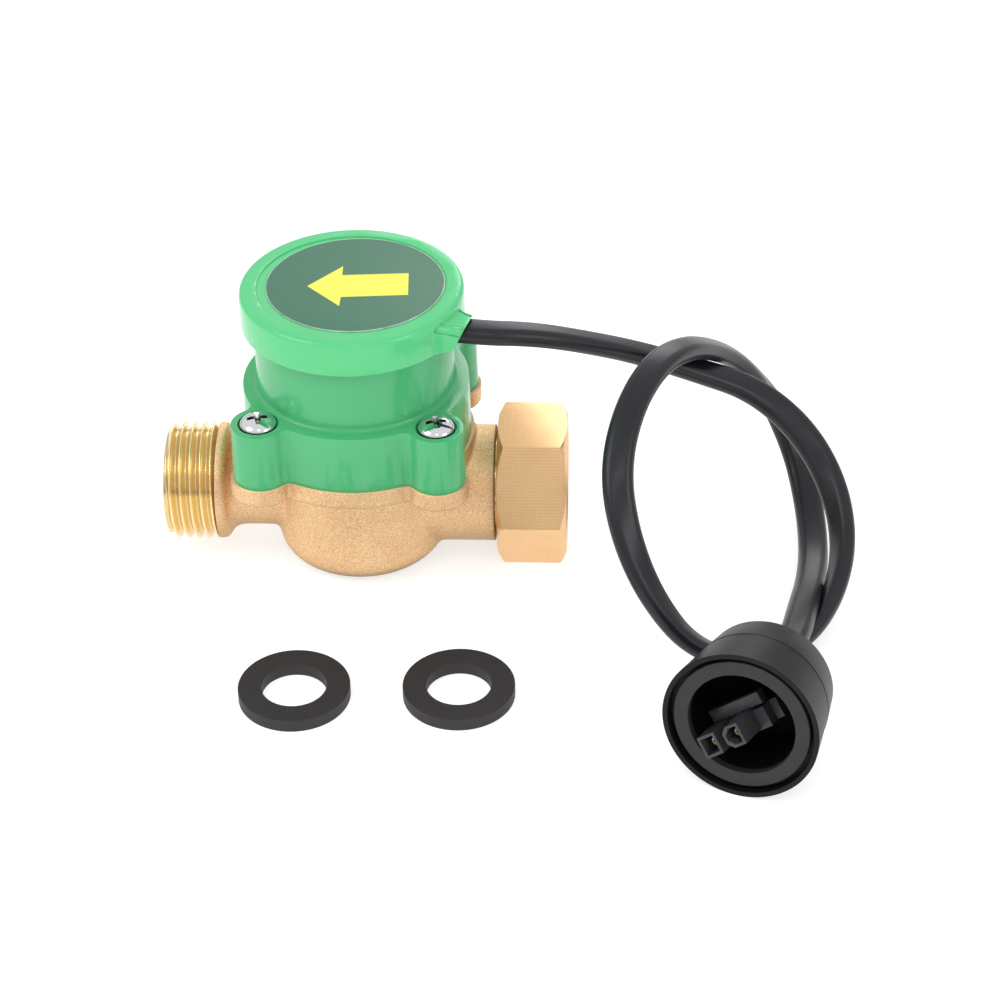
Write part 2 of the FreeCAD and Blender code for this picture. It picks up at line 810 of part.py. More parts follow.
def bearings_and_shaft():
    """Two bushes and the fixed steel shaft that the paddle wheel turns on."""
    low = "(Sizes.chamber_floor - Sizes.bearing_seat)"
    high = f"({CAVITY_FLOOR} - Sizes.bearing_sink)"
    bore = "Sizes.shaft_radius + Sizes.bearing_fit"
    lower = tube("LowerBearing", "Sizes.bearing_radius", bore, "Sizes.bearing_height", z=low)
    node(lower, "lower_bearing")
    upper = tube("UpperBearing", "Sizes.bearing_radius", bore, "Sizes.bearing_height", z=high)
    node(upper, "upper_bearing")
    length = f"{high} + Sizes.bearing_height - {low}"
    node(cylinder("Shaft", "Sizes.shaft_radius", length, z=low), "rotor_shaft")


def paddle_wheel():
    """Wheel of six paddles under a disc that carries two magnets."""
    body = doc.addObject("PartDesign::Body", "PaddleWheel")
    bottom = "(Sizes.chamber_floor - Sizes.bearing_seat + Sizes.bearing_height + Sizes.wheel_end_gap)"
    disc_bottom = "(Sizes.wheel_top - Sizes.disc_thickness)"
    hub = new_sketch(body, "hub_circle", "XY_Plane", height=bottom)
    circles(hub, "Sizes.hub_radius", [("0", "0")])
    feature(body, "Pad", "hub", hub, Length=f"Sizes.wheel_top - {bottom}")
    disc = new_sketch(body, "disc_circle", "XY_Plane", height=disc_bottom)
    circles(disc, "Sizes.disc_radius", [("0", "0")])
    feature(body, "Pad", "disc", disc, Length="Sizes.disc_thickness")
    blade = new_sketch(body, "blade_section", "XY_Plane", height="Sizes.blade_bottom")
    outline(
        blade,
        [
            ("Sizes.hub_radius / 2", "-Sizes.blade_thickness / 2"),
            ("Sizes.blade_radius", "-Sizes.blade_thickness / 2"),
            ("Sizes.blade_radius", "Sizes.blade_thickness / 2"),
            ("Sizes.hub_radius / 2", "Sizes.blade_thickness / 2"),
        ],
    )
    pad = feature(body, "Pad", "blade", blade, Length=f"{disc_bottom} - Sizes.blade_bottom")
    doc.recompute()
    ring = body.newObject("PartDesign::PolarPattern", "blades")
    ring.Originals = [pad]
    ring.Axis = (blade, ["N_Axis"])
    ring.Angle = 360
    ring.Occurrences = 6
    body.Tip = ring
    doc.recompute()
    bore = new_sketch(body, "shaft_bore", "XY_Plane", height="Sizes.wheel_top")
    circles(bore, "Sizes.shaft_radius + Sizes.running_gap", [("0", "0")])
    through = feature(body, "Pocket", "bore", bore)
    through.Type = "ThroughAll"
    pockets = new_sketch(body, "magnet_circles", "XY_Plane", height="Sizes.wheel_top")
    sides = [("Sizes.magnet_spread", "0"), ("-Sizes.magnet_spread", "0")]
    circles(pockets, "Sizes.magnet_radius + Sizes.magnet_fit", sides)
    body.Tip = feature(body, "Pocket", "magnet_pockets", pockets, Length="Sizes.magnet_height")
    doc.recompute()
    node(body, "paddle_wheel")
    for number, (place_x, place_y) in enumerate(sides, start=1):
        magnet = cylinder(
            f"Magnet{number}",
            "Sizes.magnet_radius",
            "Sizes.magnet_height",
            x=place_x,
            y=place_y,
            z="Sizes.wheel_top - Sizes.magnet_height",
        )
        node(magnet, f"rotor_magnet_{number}")


def cap():
    """Cap with a rounded shoulder, a recess for the label and a flared spout for the cord."""
    body = doc.addObject("PartDesign::Body", "Cap")
    skirt = new_sketch(body, "cap_profile", "XZ_Plane")
    inner = "Sizes.drum_radius + Sizes.cap_fit"
    floor = f"({CAP_TOP} - Sizes.label_recess)"
    outline(
        skirt,
        [
            ("0", f"{floor} - Sizes.cap_roof"),
            (inner, f"{floor} - Sizes.cap_roof"),
            (inner, CAP_BOTTOM),
            ("Sizes.cap_radius", CAP_BOTTOM),
            ("Sizes.cap_radius", CAP_TOP),
            ("Sizes.label_ring_radius", CAP_TOP),
            ("Sizes.label_ring_radius", floor),
            ("0", floor),
        ],
    )
    turned = feature(body, "Revolution", "cap_turned", skirt)
    top = size("flange_top") + size("block_height") + size("drum_height") + size("cap_rise")
    round_edges(
        body, "cap_shoulder_round", turned, ring_at(size("cap_radius"), top), "Sizes.cap_shoulder"
    )
    spout_top = f"({CORD_LINE} + Sizes.cord_thickness / 2 + Sizes.slot_gap)"
    sections = []
    stations = (
        ("root", inner, "Sizes.spout_root_flare", "Sizes.spout_root_rise"),
        ("throat", "Sizes.spout_throat", "Sizes.spout_throat_flare", "Sizes.spout_throat_rise"),
        ("mouth", "Sizes.spout_reach", "0", "Sizes.spout_lip"),
    )
    for name, reach, flare, rise in stations:
        section = new_sketch(body, f"spout_{name}", "YZ_Plane", height=reach)
        half = f"(Sizes.spout_width / 2 + {flare})"
        high = f"{spout_top} + {rise}"
        outline(
            section,
            [
                (f"Sizes.spout_offset - {half}", CAP_BOTTOM),
                (f"Sizes.spout_offset + {half}", CAP_BOTTOM),
                (f"Sizes.spout_offset + {half}", f"{high} - Sizes.spout_corner"),
                (f"Sizes.spout_offset + {half} - Sizes.spout_corner", high),
                (f"Sizes.spout_offset - {half} + Sizes.spout_corner", high),
                (f"Sizes.spout_offset - {half}", f"{high} - Sizes.spout_corner"),
            ],
        )
        sections.append(section)
    loft = body.newObject("PartDesign::AdditiveLoft", "spout")
    loft.Profile = sections[0]
    loft.Sections = sections[1:]
    doc.recompute()
    slot = new_sketch(body, "cord_slot_section", "YZ_Plane", height="Sizes.spout_root")
    half = "(Sizes.cord_width / 2 + Sizes.slot_gap)"
    outline(
        slot,
        [
            (f"Sizes.spout_offset - {half}", f"{CAP_BOTTOM} - 1"),
            (f"Sizes.spout_offset + {half}", f"{CAP_BOTTOM} - 1"),
            (f"Sizes.spout_offset + {half}", spout_top),
            (f"Sizes.spout_offset - {half}", spout_top),
        ],
    )
    passage = feature(body, "Pocket", "cord_passage", slot, Length="Sizes.spout_reach")
    passage.Reversed = True
    visor = new_sketch(body, "spout_slant", "XZ_Plane")
    lean = "tan(Sizes.spout_mouth_slant * 1 deg)"
    outline(
        visor,
        [
            (f"Sizes.spout_mouth_foot - {lean}", f"{CAP_BOTTOM} - 1"),
            ("Sizes.spout_reach + 1", f"{CAP_BOTTOM} - 1"),
            ("Sizes.spout_reach + 1", f"{CAP_TOP} + 1"),
            (
                f"Sizes.spout_mouth_foot + (Sizes.cap_skirt + Sizes.cap_rise + 1) * {lean}",
                f"{CAP_TOP} + 1",
            ),
        ],
    )
    trimmed = feature(body, "Pocket", "spout_mouth_cut", visor)
    trimmed.Type = "ThroughAll"
    trimmed.Midplane = True
    body.Tip = trimmed
    body.Placement = Placement(Vector(), Rotation(Vector(0, 0, 1), size("spout_azimuth")))
    doc.recompute()
    return node(body, "cap")


def label():
    """Round printed label in the cap's recess."""
    disc = cylinder(
        "Label",
        "Sizes.label_radius",
        "Sizes.label_thickness",
        x="Sizes.label_shift_x",
        y="Sizes.label_shift_y",
        z=f"{CAP_TOP} - Sizes.label_recess",
    )
    node(disc, "label")


def electronics():
    """Circuit board on its ledge, with the sensor below it and the power parts above it."""
    board_radius = "Sizes.cavity_radius - Sizes.board_gap"
    board = cylinder("Board", board_radius, "Sizes.board_thickness", z=BOARD)
    node(board, "circuit_board")
    top = f"{BOARD} + Sizes.board_thickness"
    sensor = box(
        "HallSensor",
        "Sizes.sensor_length",
        "Sizes.sensor_width",
        "Sizes.sensor_height",
        x="Sizes.magnet_spread - Sizes.sensor_length / 2",
        y="-Sizes.sensor_width / 2",
        z=f"{BOARD} - Sizes.sensor_height",
    )
    node(sensor, "hall_sensor")
    triac_body = box(
        "TriacBody",
        "Sizes.triac_thickness",
        "Sizes.triac_width",
        "Sizes.triac_height",
        x="Sizes.triac_place",
        y="-Sizes.triac_width / 2",
        z=f"{top} + Sizes.triac_legs_height",
    )
    triac_legs = box(
        "TriacLegs",
        "Sizes.triac_legs_thickness",
        "Sizes.triac_legs_width",
        "Sizes.triac_legs_height",
        x="Sizes.triac_legs_place",
        y="-Sizes.triac_legs_width / 2",
        z=top,
    )
    node(fuse("Triac", [triac_body, triac_legs]), "triac")
    capacitor = cylinder(
        "Capacitor",
        "Sizes.capacitor_radius",
        "Sizes.capacitor_height",
        x="Sizes.capacitor_x",
        y="Sizes.capacitor_y",
        z=top,
    )
    node(capacitor, "capacitor")
    for number in (1, 2):
        resistor = box(
            f"Resistor{number}",
            "Sizes.resistor_length",
            "Sizes.resistor_width",
            "Sizes.resistor_height",
            x="Sizes.resistor_x",
            y=f"Sizes.resistor_{number}_y",
            z=top,
        )
        node(resistor, f"resistor_{number}")


def rounded_wire(points, share=0.45):
    """Straight runs joined by tangent arcs, each as large as its two runs allow."""
    points = [Vector(*point) for point in points]
    edges, radii, here = [], [], points[0]
    for before, corner, after in zip(points, points[1:], points[2:]):
        into, out = (corner - before), (after - corner)
        reach = share * min(into.Length, out.Length)
        into.normalize()
        out.normalize()
        turn = math.acos(max(-1.0, min(1.0, into.dot(out))))
        radii.append(reach / math.tan(turn / 2))
        start, end = corner - into * reach, corner + out * reach
        inward = out - into
        inward.normalize()
        sink = radii[-1] / math.cos(turn / 2) - radii[-1]
        edges.append(Part.LineSegment(here, start).toShape())
        edges.append(Part.Arc(start, corner + inward * sink, end).toShape())
        here = end
    edges.append(Part.LineSegment(here, points[-1]).toShape())
    return Part.Wire(edges), radii


def swept_tube(label_text, points, radius):
    """A plain round tube along a rounded wire, as a feature of its own."""
    wire, radii = rounded_wire(points)
    start = Vector(*points[0])
    along = Vector(*points[1]) - start
    along.normalize()
    ring = Part.Wire([Part.Circle(start, along, radius).toShape()])
    shape = wire.makePipeShell([ring], True, False)
    item = doc.addObject("Part::Feature", label_text)
    item.Shape = shape
    node(item, label_text)
    expected = math.pi * radius**2 * wire.Length
    print(f"{label_text}: length {wire.Length:.1f}, radii {min(radii):.1f} to {max(radii):.1f},")
    print(f"  volume {shape.Volume:.1f} against {expected:.1f}")
    print("  " + " ".join(f"{value:.0f}" for value in radii))
    return item


def inner_leads():
    """Ferrule on the cord's inner end, and the two cores from there to the board."""
    start = Vector(*CORD_ROUTE[0])
    along = Vector(*CORD_ROUTE[1]) - start
    along.normalize()
    aside = Vector(0, 0, 1).cross(along)
    ferrule = tube(
        "Ferrule",
        "Sizes.cord_thickness / 2 + Sizes.ferrule_wall",
        "Sizes.cord_thickness / 2 + Sizes.ferrule_fit",
        "Sizes.ferrule_length",
    )
    turn = Rotation(Vector(0, 0, 1), along)
    ferrule.Placement = Placement(start + along * size("ferrule_shift"), turn)
    node(ferrule, "cord_ferrule")
    top = size("flange_top") + size("board_height") + size("board_thickness")
    for name, (side, end_x, end_y) in CORE_ENDS.items():
        begin = start + aside * (side * size("core_spread"))
        route = [
            begin,
            begin - along * CORE_STRAIGHT,
            Vector(end_x, end_y, top + CORE_DROP),
            Vector(end_x, end_y, top),
        ]
        swept_tube(name, [tuple(point) for point in route], size("core_radius"))


def cup_frame():
    """Where the terminal cap lies: on its rim and on the step round its waist."""
    lift = size("cup_radius") - size("cup_waist_radius") - size("cup_step")
    tilt = math.degrees(math.atan2(lift, size("cup_waist_depth")))
    turn = Rotation(Vector(0, 0, 1), size("cup_yaw")).multiply(Rotation(Vector(1, 0, 0), 90 - tilt))
    height = size("cup_radius") * math.cos(math.radians(tilt))
    return Placement(Vector(CUP_MOUTH[0], CUP_MOUTH[1], height), turn)


def connector_frame():
    """Where the connector sits in the terminal cap, turned about the cap's axis."""
    turn = Rotation(Vector(0, 0, 1), size("connector_turn"))
    turn = turn.multiply(Rotation(Vector(1, 0, 0), size("connector_tip")))
    shift = Vector(CONNECTOR_SHIFT[0], CONNECTOR_SHIFT[1], size("connector_out"))
    return cup_frame().multiply(Placement(shift, turn))


def plug_cup():
    """Rubber terminal cap: tapered cup with a waist step, a floor and a gland for the cord."""
    body = doc.addObject("PartDesign::Body", "PlugCup")
    profile = new_sketch(body, "cup_profile", "XZ_Plane")
    waist_outer = "Sizes.cup_waist_radius + Sizes.cup_step"
    shoulder = "-(Sizes.ring_depth + Sizes.ring_thickness)"
    outline(
        profile,
        [
            ("0", "-Sizes.cup_depth - Sizes.gland_length"),
            ("Sizes.gland_radius", "-Sizes.cup_depth - Sizes.gland_length"),
            ("Sizes.gland_radius", "-Sizes.cup_depth"),
            ("Sizes.cup_rear_radius", "-Sizes.cup_depth"),
            (waist_outer, "-Sizes.cup_waist_depth"),
            ("Sizes.cup_waist_radius", "-Sizes.cup_waist_depth + Sizes.cup_step"),
            ("Sizes.cup_radius", "0"),
            ("Sizes.cup_radius - Sizes.cup_rim", "0"),
            ("Sizes.cup_radius - Sizes.cup_rim", shoulder),
            ("Sizes.cup_cavity_radius", shoulder),
            ("Sizes.cup_cavity_end", "-Sizes.cup_depth + Sizes.cup_floor"),
            ("0", "-Sizes.cup_depth + Sizes.cup_floor"),
        ],
    )
    turned = feature(body, "Revolution", "cup_turned", profile)
    rounded = round_edges(
        body,
        "cup_rear_edge",
        turned,
        ring_at(size("cup_rear_radius"), -size("cup_depth")),
        "Sizes.cup_edge",
    )
    body.Tip = rounded
    body.Placement = cup_frame()
    doc.recompute()
    node(body, "plug_cup")
    ring = tube(
        "PlugRing", "Sizes.ring_outer_radius", "Sizes.ring_inner_radius", "Sizes.ring_thickness"
    )
    place = cup_frame()
    shift = Vector(0, 0, -size("ring_depth") - size("ring_thickness"))
    ring.Placement = place.multiply(Placement(shift, Rotation()))
    node(ring, "plug_ring")


def sleeve(side, width, height, chamfer):
    """Corners of one sleeve's section; the right-hand one has its two inner corners cut off."""
    middle = f"{side} * Sizes.pole_pitch / 2"
    left, right = f"{middle} - {width}", f"{middle} + {width}"
    outer = [(right, f"-({height})"), (right, height)]
    if side < 0:
        return [(left, f"-({height})"), *outer, (left, height)]
    cut_down = f"{height} - {chamfer}"
    return [
        (f"{left} + {chamfer}", f"-({height})"),
        *outer,
        (f"{left} + {chamfer}", height),
        (left, cut_down),
        (left, f"-({cut_down})"),
    ]


def connector():
    """Two-pole connector: sleeves on a flange and a rear block, latch bar and brass terminals."""
    body = doc.addObject("PartDesign::Body", "ConnectorHousing")
    rear_face = "(-Sizes.pole_length - Sizes.block_length)"
    steps = (("flange", "-Sizes.pole_length", "block"), ("rear", rear_face, "rear_block"))
    for name, height, prefix in steps:
        section = new_sketch(
            body,
            f"{name}_section",
            "XY_Plane",
            shift_x=f"Sizes.{prefix}_aside",
            shift_y=f"-Sizes.{prefix}_sink",
            height=height,
        )
        outline(section, centred(f"Sizes.{prefix}_width", f"Sizes.{prefix}_thickness"))
        pad = feature(body, "Pad", f"connector_{name}", section, Length=f"Sizes.{prefix}_length")
        pad.Reversed = True
    half_wide, half_high = "Sizes.pole_width / 2", "Sizes.pole_height / 2"
    sleeves = new_sketch(body, "sleeve_sections", "XY_Plane", height="-Sizes.pole_length")
    bores = new_sketch(body, "sleeve_bores", "XY_Plane")
    for side in (-1, 1):
        outline(sleeves, sleeve(side, half_wide, half_high, "Sizes.pole_chamfer"))
        outline(
            bores,
            sleeve(
                side,
                f"({half_wide} - Sizes.pole_wall)",
                f"({half_high} - Sizes.pole_wall)",
                "Sizes.pole_chamfer",
            ),
        )
    feature(body, "Pad", "sleeves", sleeves, Length="Sizes.pole_length")
    body.Tip = feature(body, "Pocket", "terminal_cavities", bores, Length="Sizes.pole_length")
    body.Placement = connector_frame()
    doc.recompute()
    node(body, "connector_housing")
    bar = box(
        "LatchBar",
        "Sizes.latch_width",
        "Sizes.latch_thickness",
        "Sizes.latch_length",
        x="Sizes.latch_aside - Sizes.latch_width / 2",
        y="Sizes.block_thickness / 2 - Sizes.block_sink + Sizes.latch_gap",
        z="-Sizes.pole_length - Sizes.latch_length",
    )
    foot = box(
        "LatchFoot",
        "Sizes.latch_width / 2",
        "Sizes.latch_gap",
        "Sizes.latch_foot",
        x="Sizes.latch_aside - Sizes.latch_width / 4",
        y="Sizes.block_thickness / 2 - Sizes.block_sink",
        z="-Sizes.pole_length - Sizes.latch_length",
    )
    latch = fuse("Latch", [bar, foot])
    latch.Placement = connector_frame()
    node(latch, "connector_latch")
    for number, side in enumerate((-1, 1), start=1):
        pin = tube(
            f"Terminal{number}",
            "Sizes.pin_radius",
            "Sizes.pin_bore",
            "Sizes.pin_length",
            x=f"{side} * Sizes.pole_pitch / 2",
            z="-Sizes.pole_length",
        )
        pin.Placement = connector_frame()
        node(pin, f"connector_terminal_{number}")
        plug_lead(number, side)


def plug_lead(number, side):
    """A core of the cord, from the cup's floor up to the connector's rear face."""
    rear = size("pole_length") + size("block_length") + size("rear_block_length")
    meeting = connector_frame().multVec(Vector(side * size("pole_pitch") / 2, 0, -rear))
    foot = cup_frame().inverse().multVec(meeting)
    foot.z = size("cup_floor") - size("cup_depth")
    core = cylinder(f"PlugCore{number}", "Sizes.plug_lead_radius", "Sizes.cup_depth - Sizes.cup_floor")
    core.Placement = cup_frame().multiply(Placement(foot, Rotation()))
    ahead = box(
        f"ConnectorSpace{number}",
        "2 * Sizes.cup_radius",
        "2 * Sizes.cup_radius",
        "2 * Sizes.cup_depth",
    )
    corner = Vector(-size("cup_radius"), -size("cup_radius"), -rear)
    ahead.Placement = connector_frame().multiply(Placement(corner, Rotation()))
    node(cut(f"PlugLead{number}", core, ahead), f"plug_lead_{number}")


def cord():
    """The cord's tube, which ends on the face of the terminal cap's gland."""
    end = cup_frame().multVec(Vector(0, 0, -size("cup_depth") - size("gland_length")))
    swept_tube("cord", CORD_ROUTE + [tuple(end)], size("cord_thickness") / 2)


brass_body()
union_nut()
snap_ring()
washers()
chamber_seal()
sensor_housing()
for number, corner in enumerate(FOUR_BOSSES, start=1):
    housing_screw(number, *corner)
bearings_and_shaft()
paddle_wheel()
cap()
label()
electronics()
inner_leads()
plug_cup()
connector()
cord()
doc.recompute()

for item in doc.Objects:
    if "Invalid" in item.State or "Error" in item.State:
        raise RuntimeError(f"{item.Label}: {item.State}")
os.makedirs("parts", exist_ok=True)
for item in NODES:
    shape = item.Shape
    if shape.isNull() or not shape.isValid() or not shape.Solids:
        raise RuntimeError(f"{item.Label} has no valid solid")
    shape.exportStep(f"parts/{item.Label}.step")
    middle = shape.BoundBox
    print(
        f"{item.Label}: {len(shape.Solids)} solid(s), volume {shape.Volume:.1f},"
        f" z {middle.ZMin:.2f} to {middle.ZMax:.2f}"
    )
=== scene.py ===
"""Visual model of the paddle flow switch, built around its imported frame, in metres.

The sections follow the switch as it is put together: the brass body and its nut, the paddle
wheel, the sensor housing with its electronics and cap, the cord, and the terminal cap.
"""

import math

import bmesh
import bpy
from mathutils import Matrix, Vector


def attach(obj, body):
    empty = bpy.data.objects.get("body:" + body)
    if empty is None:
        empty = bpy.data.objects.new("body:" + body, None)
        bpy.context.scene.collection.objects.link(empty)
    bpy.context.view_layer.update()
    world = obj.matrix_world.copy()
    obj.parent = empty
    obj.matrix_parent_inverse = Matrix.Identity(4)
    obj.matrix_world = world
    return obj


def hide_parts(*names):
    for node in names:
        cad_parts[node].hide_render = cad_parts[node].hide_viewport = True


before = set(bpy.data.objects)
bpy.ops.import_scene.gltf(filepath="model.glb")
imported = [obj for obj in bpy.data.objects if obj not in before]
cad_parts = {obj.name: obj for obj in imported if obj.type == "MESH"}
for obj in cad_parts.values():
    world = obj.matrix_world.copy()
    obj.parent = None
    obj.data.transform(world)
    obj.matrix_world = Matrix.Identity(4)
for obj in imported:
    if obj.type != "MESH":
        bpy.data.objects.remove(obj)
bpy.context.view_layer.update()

# Camera and studio.
# A pale floor under a wide white tent that is open and dark round its foot, and four soft boxes.
# The camera looks down at about 35 degrees with a long lens.
SCENE = bpy.context.scene
SCENE.view_settings.view_transform = "Standard"


def linear(code):
    """The linear colour of an sRGB hex value."""
    parts = [int(code[i:i + 2], 16) / 255 for i in (1, 3, 5)]
    return [p / 12.92 if p <= 0.04045 else ((p + 0.055) / 1.055) ** 2.4 for p in parts] + [1.0]


def put(tree, kind, inputs=(), **settings):
    """Adds a node with its own settings, and sets or links its inputs by name or number."""
    item = tree.nodes.new(kind)
    for name, value in settings.items():
        setattr(item, name, value)
    for socket, value in dict(inputs).items():
        if isinstance(value, bpy.types.NodeSocket):
            tree.links.new(value, item.inputs[socket])
        else:
            item.inputs[socket].default_value = value
    return item


def linked(name, data):
    item = bpy.data.objects.new(name, data)
    SCENE.collection.objects.link(item)
    return item


camera = linked("camera", bpy.data.cameras.new("camera"))
camera.data.lens = 100.8
camera.data.sensor_width = 36
camera.matrix_world = Matrix((
    (0.99912, -0.01017, 0.04079, 0.04537),
    (0.03914, 0.58076, -0.81313, -0.41019),
    (-0.01542, 0.81401, 0.58065, 0.30148),
    (0, 0, 0, 1),
))
SCENE.camera = camera

# The tent's wall is white and its open foot is dark, which draws a dark band along rounded metal.
world = bpy.data.worlds.new("studio")
world.use_nodes = True
SCENE.world = world
sky = world.node_tree
sky.nodes.clear()
where = put(sky, "ShaderNodeTexCoord")
split = put(sky, "ShaderNodeSeparateXYZ", {0: where.outputs["Generated"]})
tent = put(sky, "ShaderNodeMapRange", {
    "Value": split.outputs["Z"], "From Min": 0.03, "From Max": 0.24, "To Min": 0.14, "To Max": 0.86},
    interpolation_type="SMOOTHSTEP")
glow = put(sky, "ShaderNodeBackground", {
    "Color": linear("#fbfcff"), "Strength": tent.outputs["Result"]})
put(sky, "ShaderNodeOutputWorld", {"Surface": glow.outputs[0]})

for name, place, width, watts in (
    ("box_left", (-0.75, -0.35, 0.85), 0.7, 2.9),
    ("box_back", (0.15, 1.05, 0.42), 0.5, 1.3),
    ("box_right", (0.85, -0.55, 0.60), 0.5, 1.6),
    ("box_front", (0.10, -0.62, 0.88), 0.15, 0.4),
):
    lamp = bpy.data.lights.new(name, "AREA")
    lamp.shape = "DISK"
    lamp.size = width
    lamp.energy = watts
    holder = linked(name, lamp)
    holder.location = place
    inward = Vector(place) - Vector((0.02, 0, 0.02))
    holder.rotation_euler = inward.to_track_quat("Z", "Y").to_euler()


def material(name):
    """A new material's node tree, its shader, and its Object coordinates."""
    made = bpy.data.materials.new(name)
    made.use_nodes = True
    tree = made.node_tree
    tree.nodes.clear()
    shader = put(tree, "ShaderNodeBsdfPrincipled")
    put(tree, "ShaderNodeOutputMaterial", {"Surface": shader.outputs[0]})
    return made, tree, shader, put(tree, "ShaderNodeTexCoord").outputs["Object"]


# Matt white paper. A little light from within stands for what the tent throws back on it.
paper, _, shader, _ = material("white_paper_sweep")
shader.inputs["Base Color"].default_value = linear("#cccccc")
shader.inputs["Roughness"].default_value = 0.9
shader.inputs["Emission Color"].default_value = linear("#ffffff")
shader.inputs["Emission Strength"].default_value = 0.65
floor_mesh = bpy.data.meshes.new("floor")
shape = bmesh.new()
bmesh.ops.create_grid(shape, x_segments=1, y_segments=1, size=4.0)
shape.to_mesh(floor_mesh)
shape.free()
floor = linked("floor", floor_mesh)
floor_mesh.materials.append(paper)

# Cast body.
# Sand-cast brass, tumbled and blasted: chamber, lobed flange, neck, collar and stub run into
# each other in soft blends. The chamber and the waterway are bored afterwards.
PIPE = 0.0125  # height of the waterway's axis over the base
BODY_TOP = 0.0240
RAW_TOP = 0.0270  # cast too high and then faced to BODY_TOP
CHAMBER = 0.0152
CHAMBER_BORE = 0.0120
CHAMBER_FLOOR = 0.0026
FOOT_ROUND = 0.0045
FLANGE = 0.0205
FLANGE_FOOT = 0.0206
BOSS = 0.0054
BOSS_REACH = 0.0153
NECK = 0.0079
NECK_BLEND = 0.0024
COLLAR_FACE = -0.0236
THREAD_CREST = 0.010478
THREAD_BACK = -0.0252
STUB = 0.0104
STUB_FACE = 0.0242
BORE = 0.0060


def finish_piece(name, shape, body, coat, smooth=True):
    """Turns a bmesh into a piece that rides on a body, with its material."""
    mesh = bpy.data.meshes.new(name)
    shape.to_mesh(mesh)
    shape.free()
    mesh.materials.append(coat)
    for face in mesh.polygons:
        face.use_smooth = smooth
    piece = linked(name, mesh)
    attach(piece, body)
    return piece


def add_cylinder(shape, radius, start, end, segments=96):
    """A closed cylinder or cone between two points; radius may be a pair."""
    first, second = radius if isinstance(radius, tuple) else (radius, radius)
    start, end = Vector(start), Vector(end)
    along = end - start
    turn = along.to_track_quat("Z", "Y").to_matrix().to_4x4()
    bmesh.ops.create_cone(
        shape, cap_ends=True, segments=segments, radius1=first, radius2=second,
        depth=along.length, matrix=Matrix.Translation((start + end) / 2) @ turn,
    )


def add_cones(shape, rings, segments=96):
    """Closed cones from each ring to the next, each ring a radius and its middle."""
    for (near, low), (far, high) in zip(rings, rings[1:]):
        add_cylinder(shape, (near, far), low, high, segments)


def apply_modifiers(piece):
    """Bakes a piece's modifiers into its mesh."""
    depsgraph = bpy.context.evaluated_depsgraph_get()
    baked = bpy.data.meshes.new_from_object(piece.evaluated_get(depsgraph))
    piece.modifiers.clear()
    old = piece.data
    piece.data = baked
    bpy.data.meshes.remove(old)


# Blasted brass is pale and sandy, without a mirror in it. Its tone drifts over about 6 mm;
# painted shade darkens the corners and undersides, and a painted highlight lights the upper
# faces. The grit is 0.25 mm, coarser than the real sand of about 0.1 mm, so that it shows.
cast_brass, tree, shader, place = material("sand_cast_brass")
blotch = put(tree, "ShaderNodeTexNoise", {"Vector": place, "Scale": 160.0, "Detail": 4.0})
grit = put(tree, "ShaderNodeTexNoise", {"Vector": place, "Scale": 4000.0, "Detail": 2.0})
tone = put(tree, "ShaderNodeMix", {
    "Factor": blotch.outputs["Fac"], "A": linear("#e9bf91"), "B": linear("#f6d5a6")}, data_type="RGBA")
speck = put(tree, "ShaderNodeMapRange", {
    "Value": grit.outputs["Fac"], "From Min": 0.35, "From Max": 0.65, "To Min": 0.76, "To Max": 1.12})
# Painted shade: ambient occlusion within 4 mm darkens the corners and creases.
occlusion_shade = put(tree, "ShaderNodeAmbientOcclusion", {"Distance": 0.004}, samples=8)
corner_shade = put(tree, "ShaderNodeMapRange", {
    "Value": occlusion_shade.outputs["AO"], "From Min": 0.4, "From Max": 0.9, "To Min": 0.62, "To Max": 1.0})
facing = put(tree, "ShaderNodeSeparateXYZ", {0: put(tree, "ShaderNodeTexCoord").outputs["Normal"]})
# Painted shade on faces turned down, and a painted highlight on faces turned up.
under = put(tree, "ShaderNodeMapRange", {
    "Value": facing.outputs["Z"], "From Min": -0.75, "From Max": 0.0, "To Min": 0.62, "To Max": 1.0})
top_highlight = put(tree, "ShaderNodeMapRange", {
    "Value": facing.outputs["Z"], "From Min": 0.15, "From Max": 0.9, "To Min": 1.0, "To Max": 1.22})
sides = put(tree, "ShaderNodeMath", {
    0: under.outputs["Result"], 1: top_highlight.outputs["Result"]}, operation="MULTIPLY")
grain_and_corner_shade = put(tree, "ShaderNodeMath", {
    0: speck.outputs["Result"], 1: corner_shade.outputs["Result"]}, operation="MULTIPLY")
shade = put(tree, "ShaderNodeMath", {
    0: grain_and_corner_shade.outputs[0], 1: sides.outputs[0]}, operation="MULTIPLY")
tinted = put(tree, "ShaderNodeVectorMath", {
    0: tone.outputs["Result"], "Scale": shade.outputs[0]}, operation="SCALE")
tree.links.new(tinted.outputs["Vector"], shader.inputs["Base Color"])
shader.inputs["Metallic"].default_value = 1.0
shader.inputs["Roughness"].default_value = 0.55
relief = put(tree, "ShaderNodeBump", {
    "Height": grit.outputs["Fac"], "Strength": 0.8, "Distance": 0.00008})
tree.links.new(relief.outputs[0], shader.inputs["Normal"])

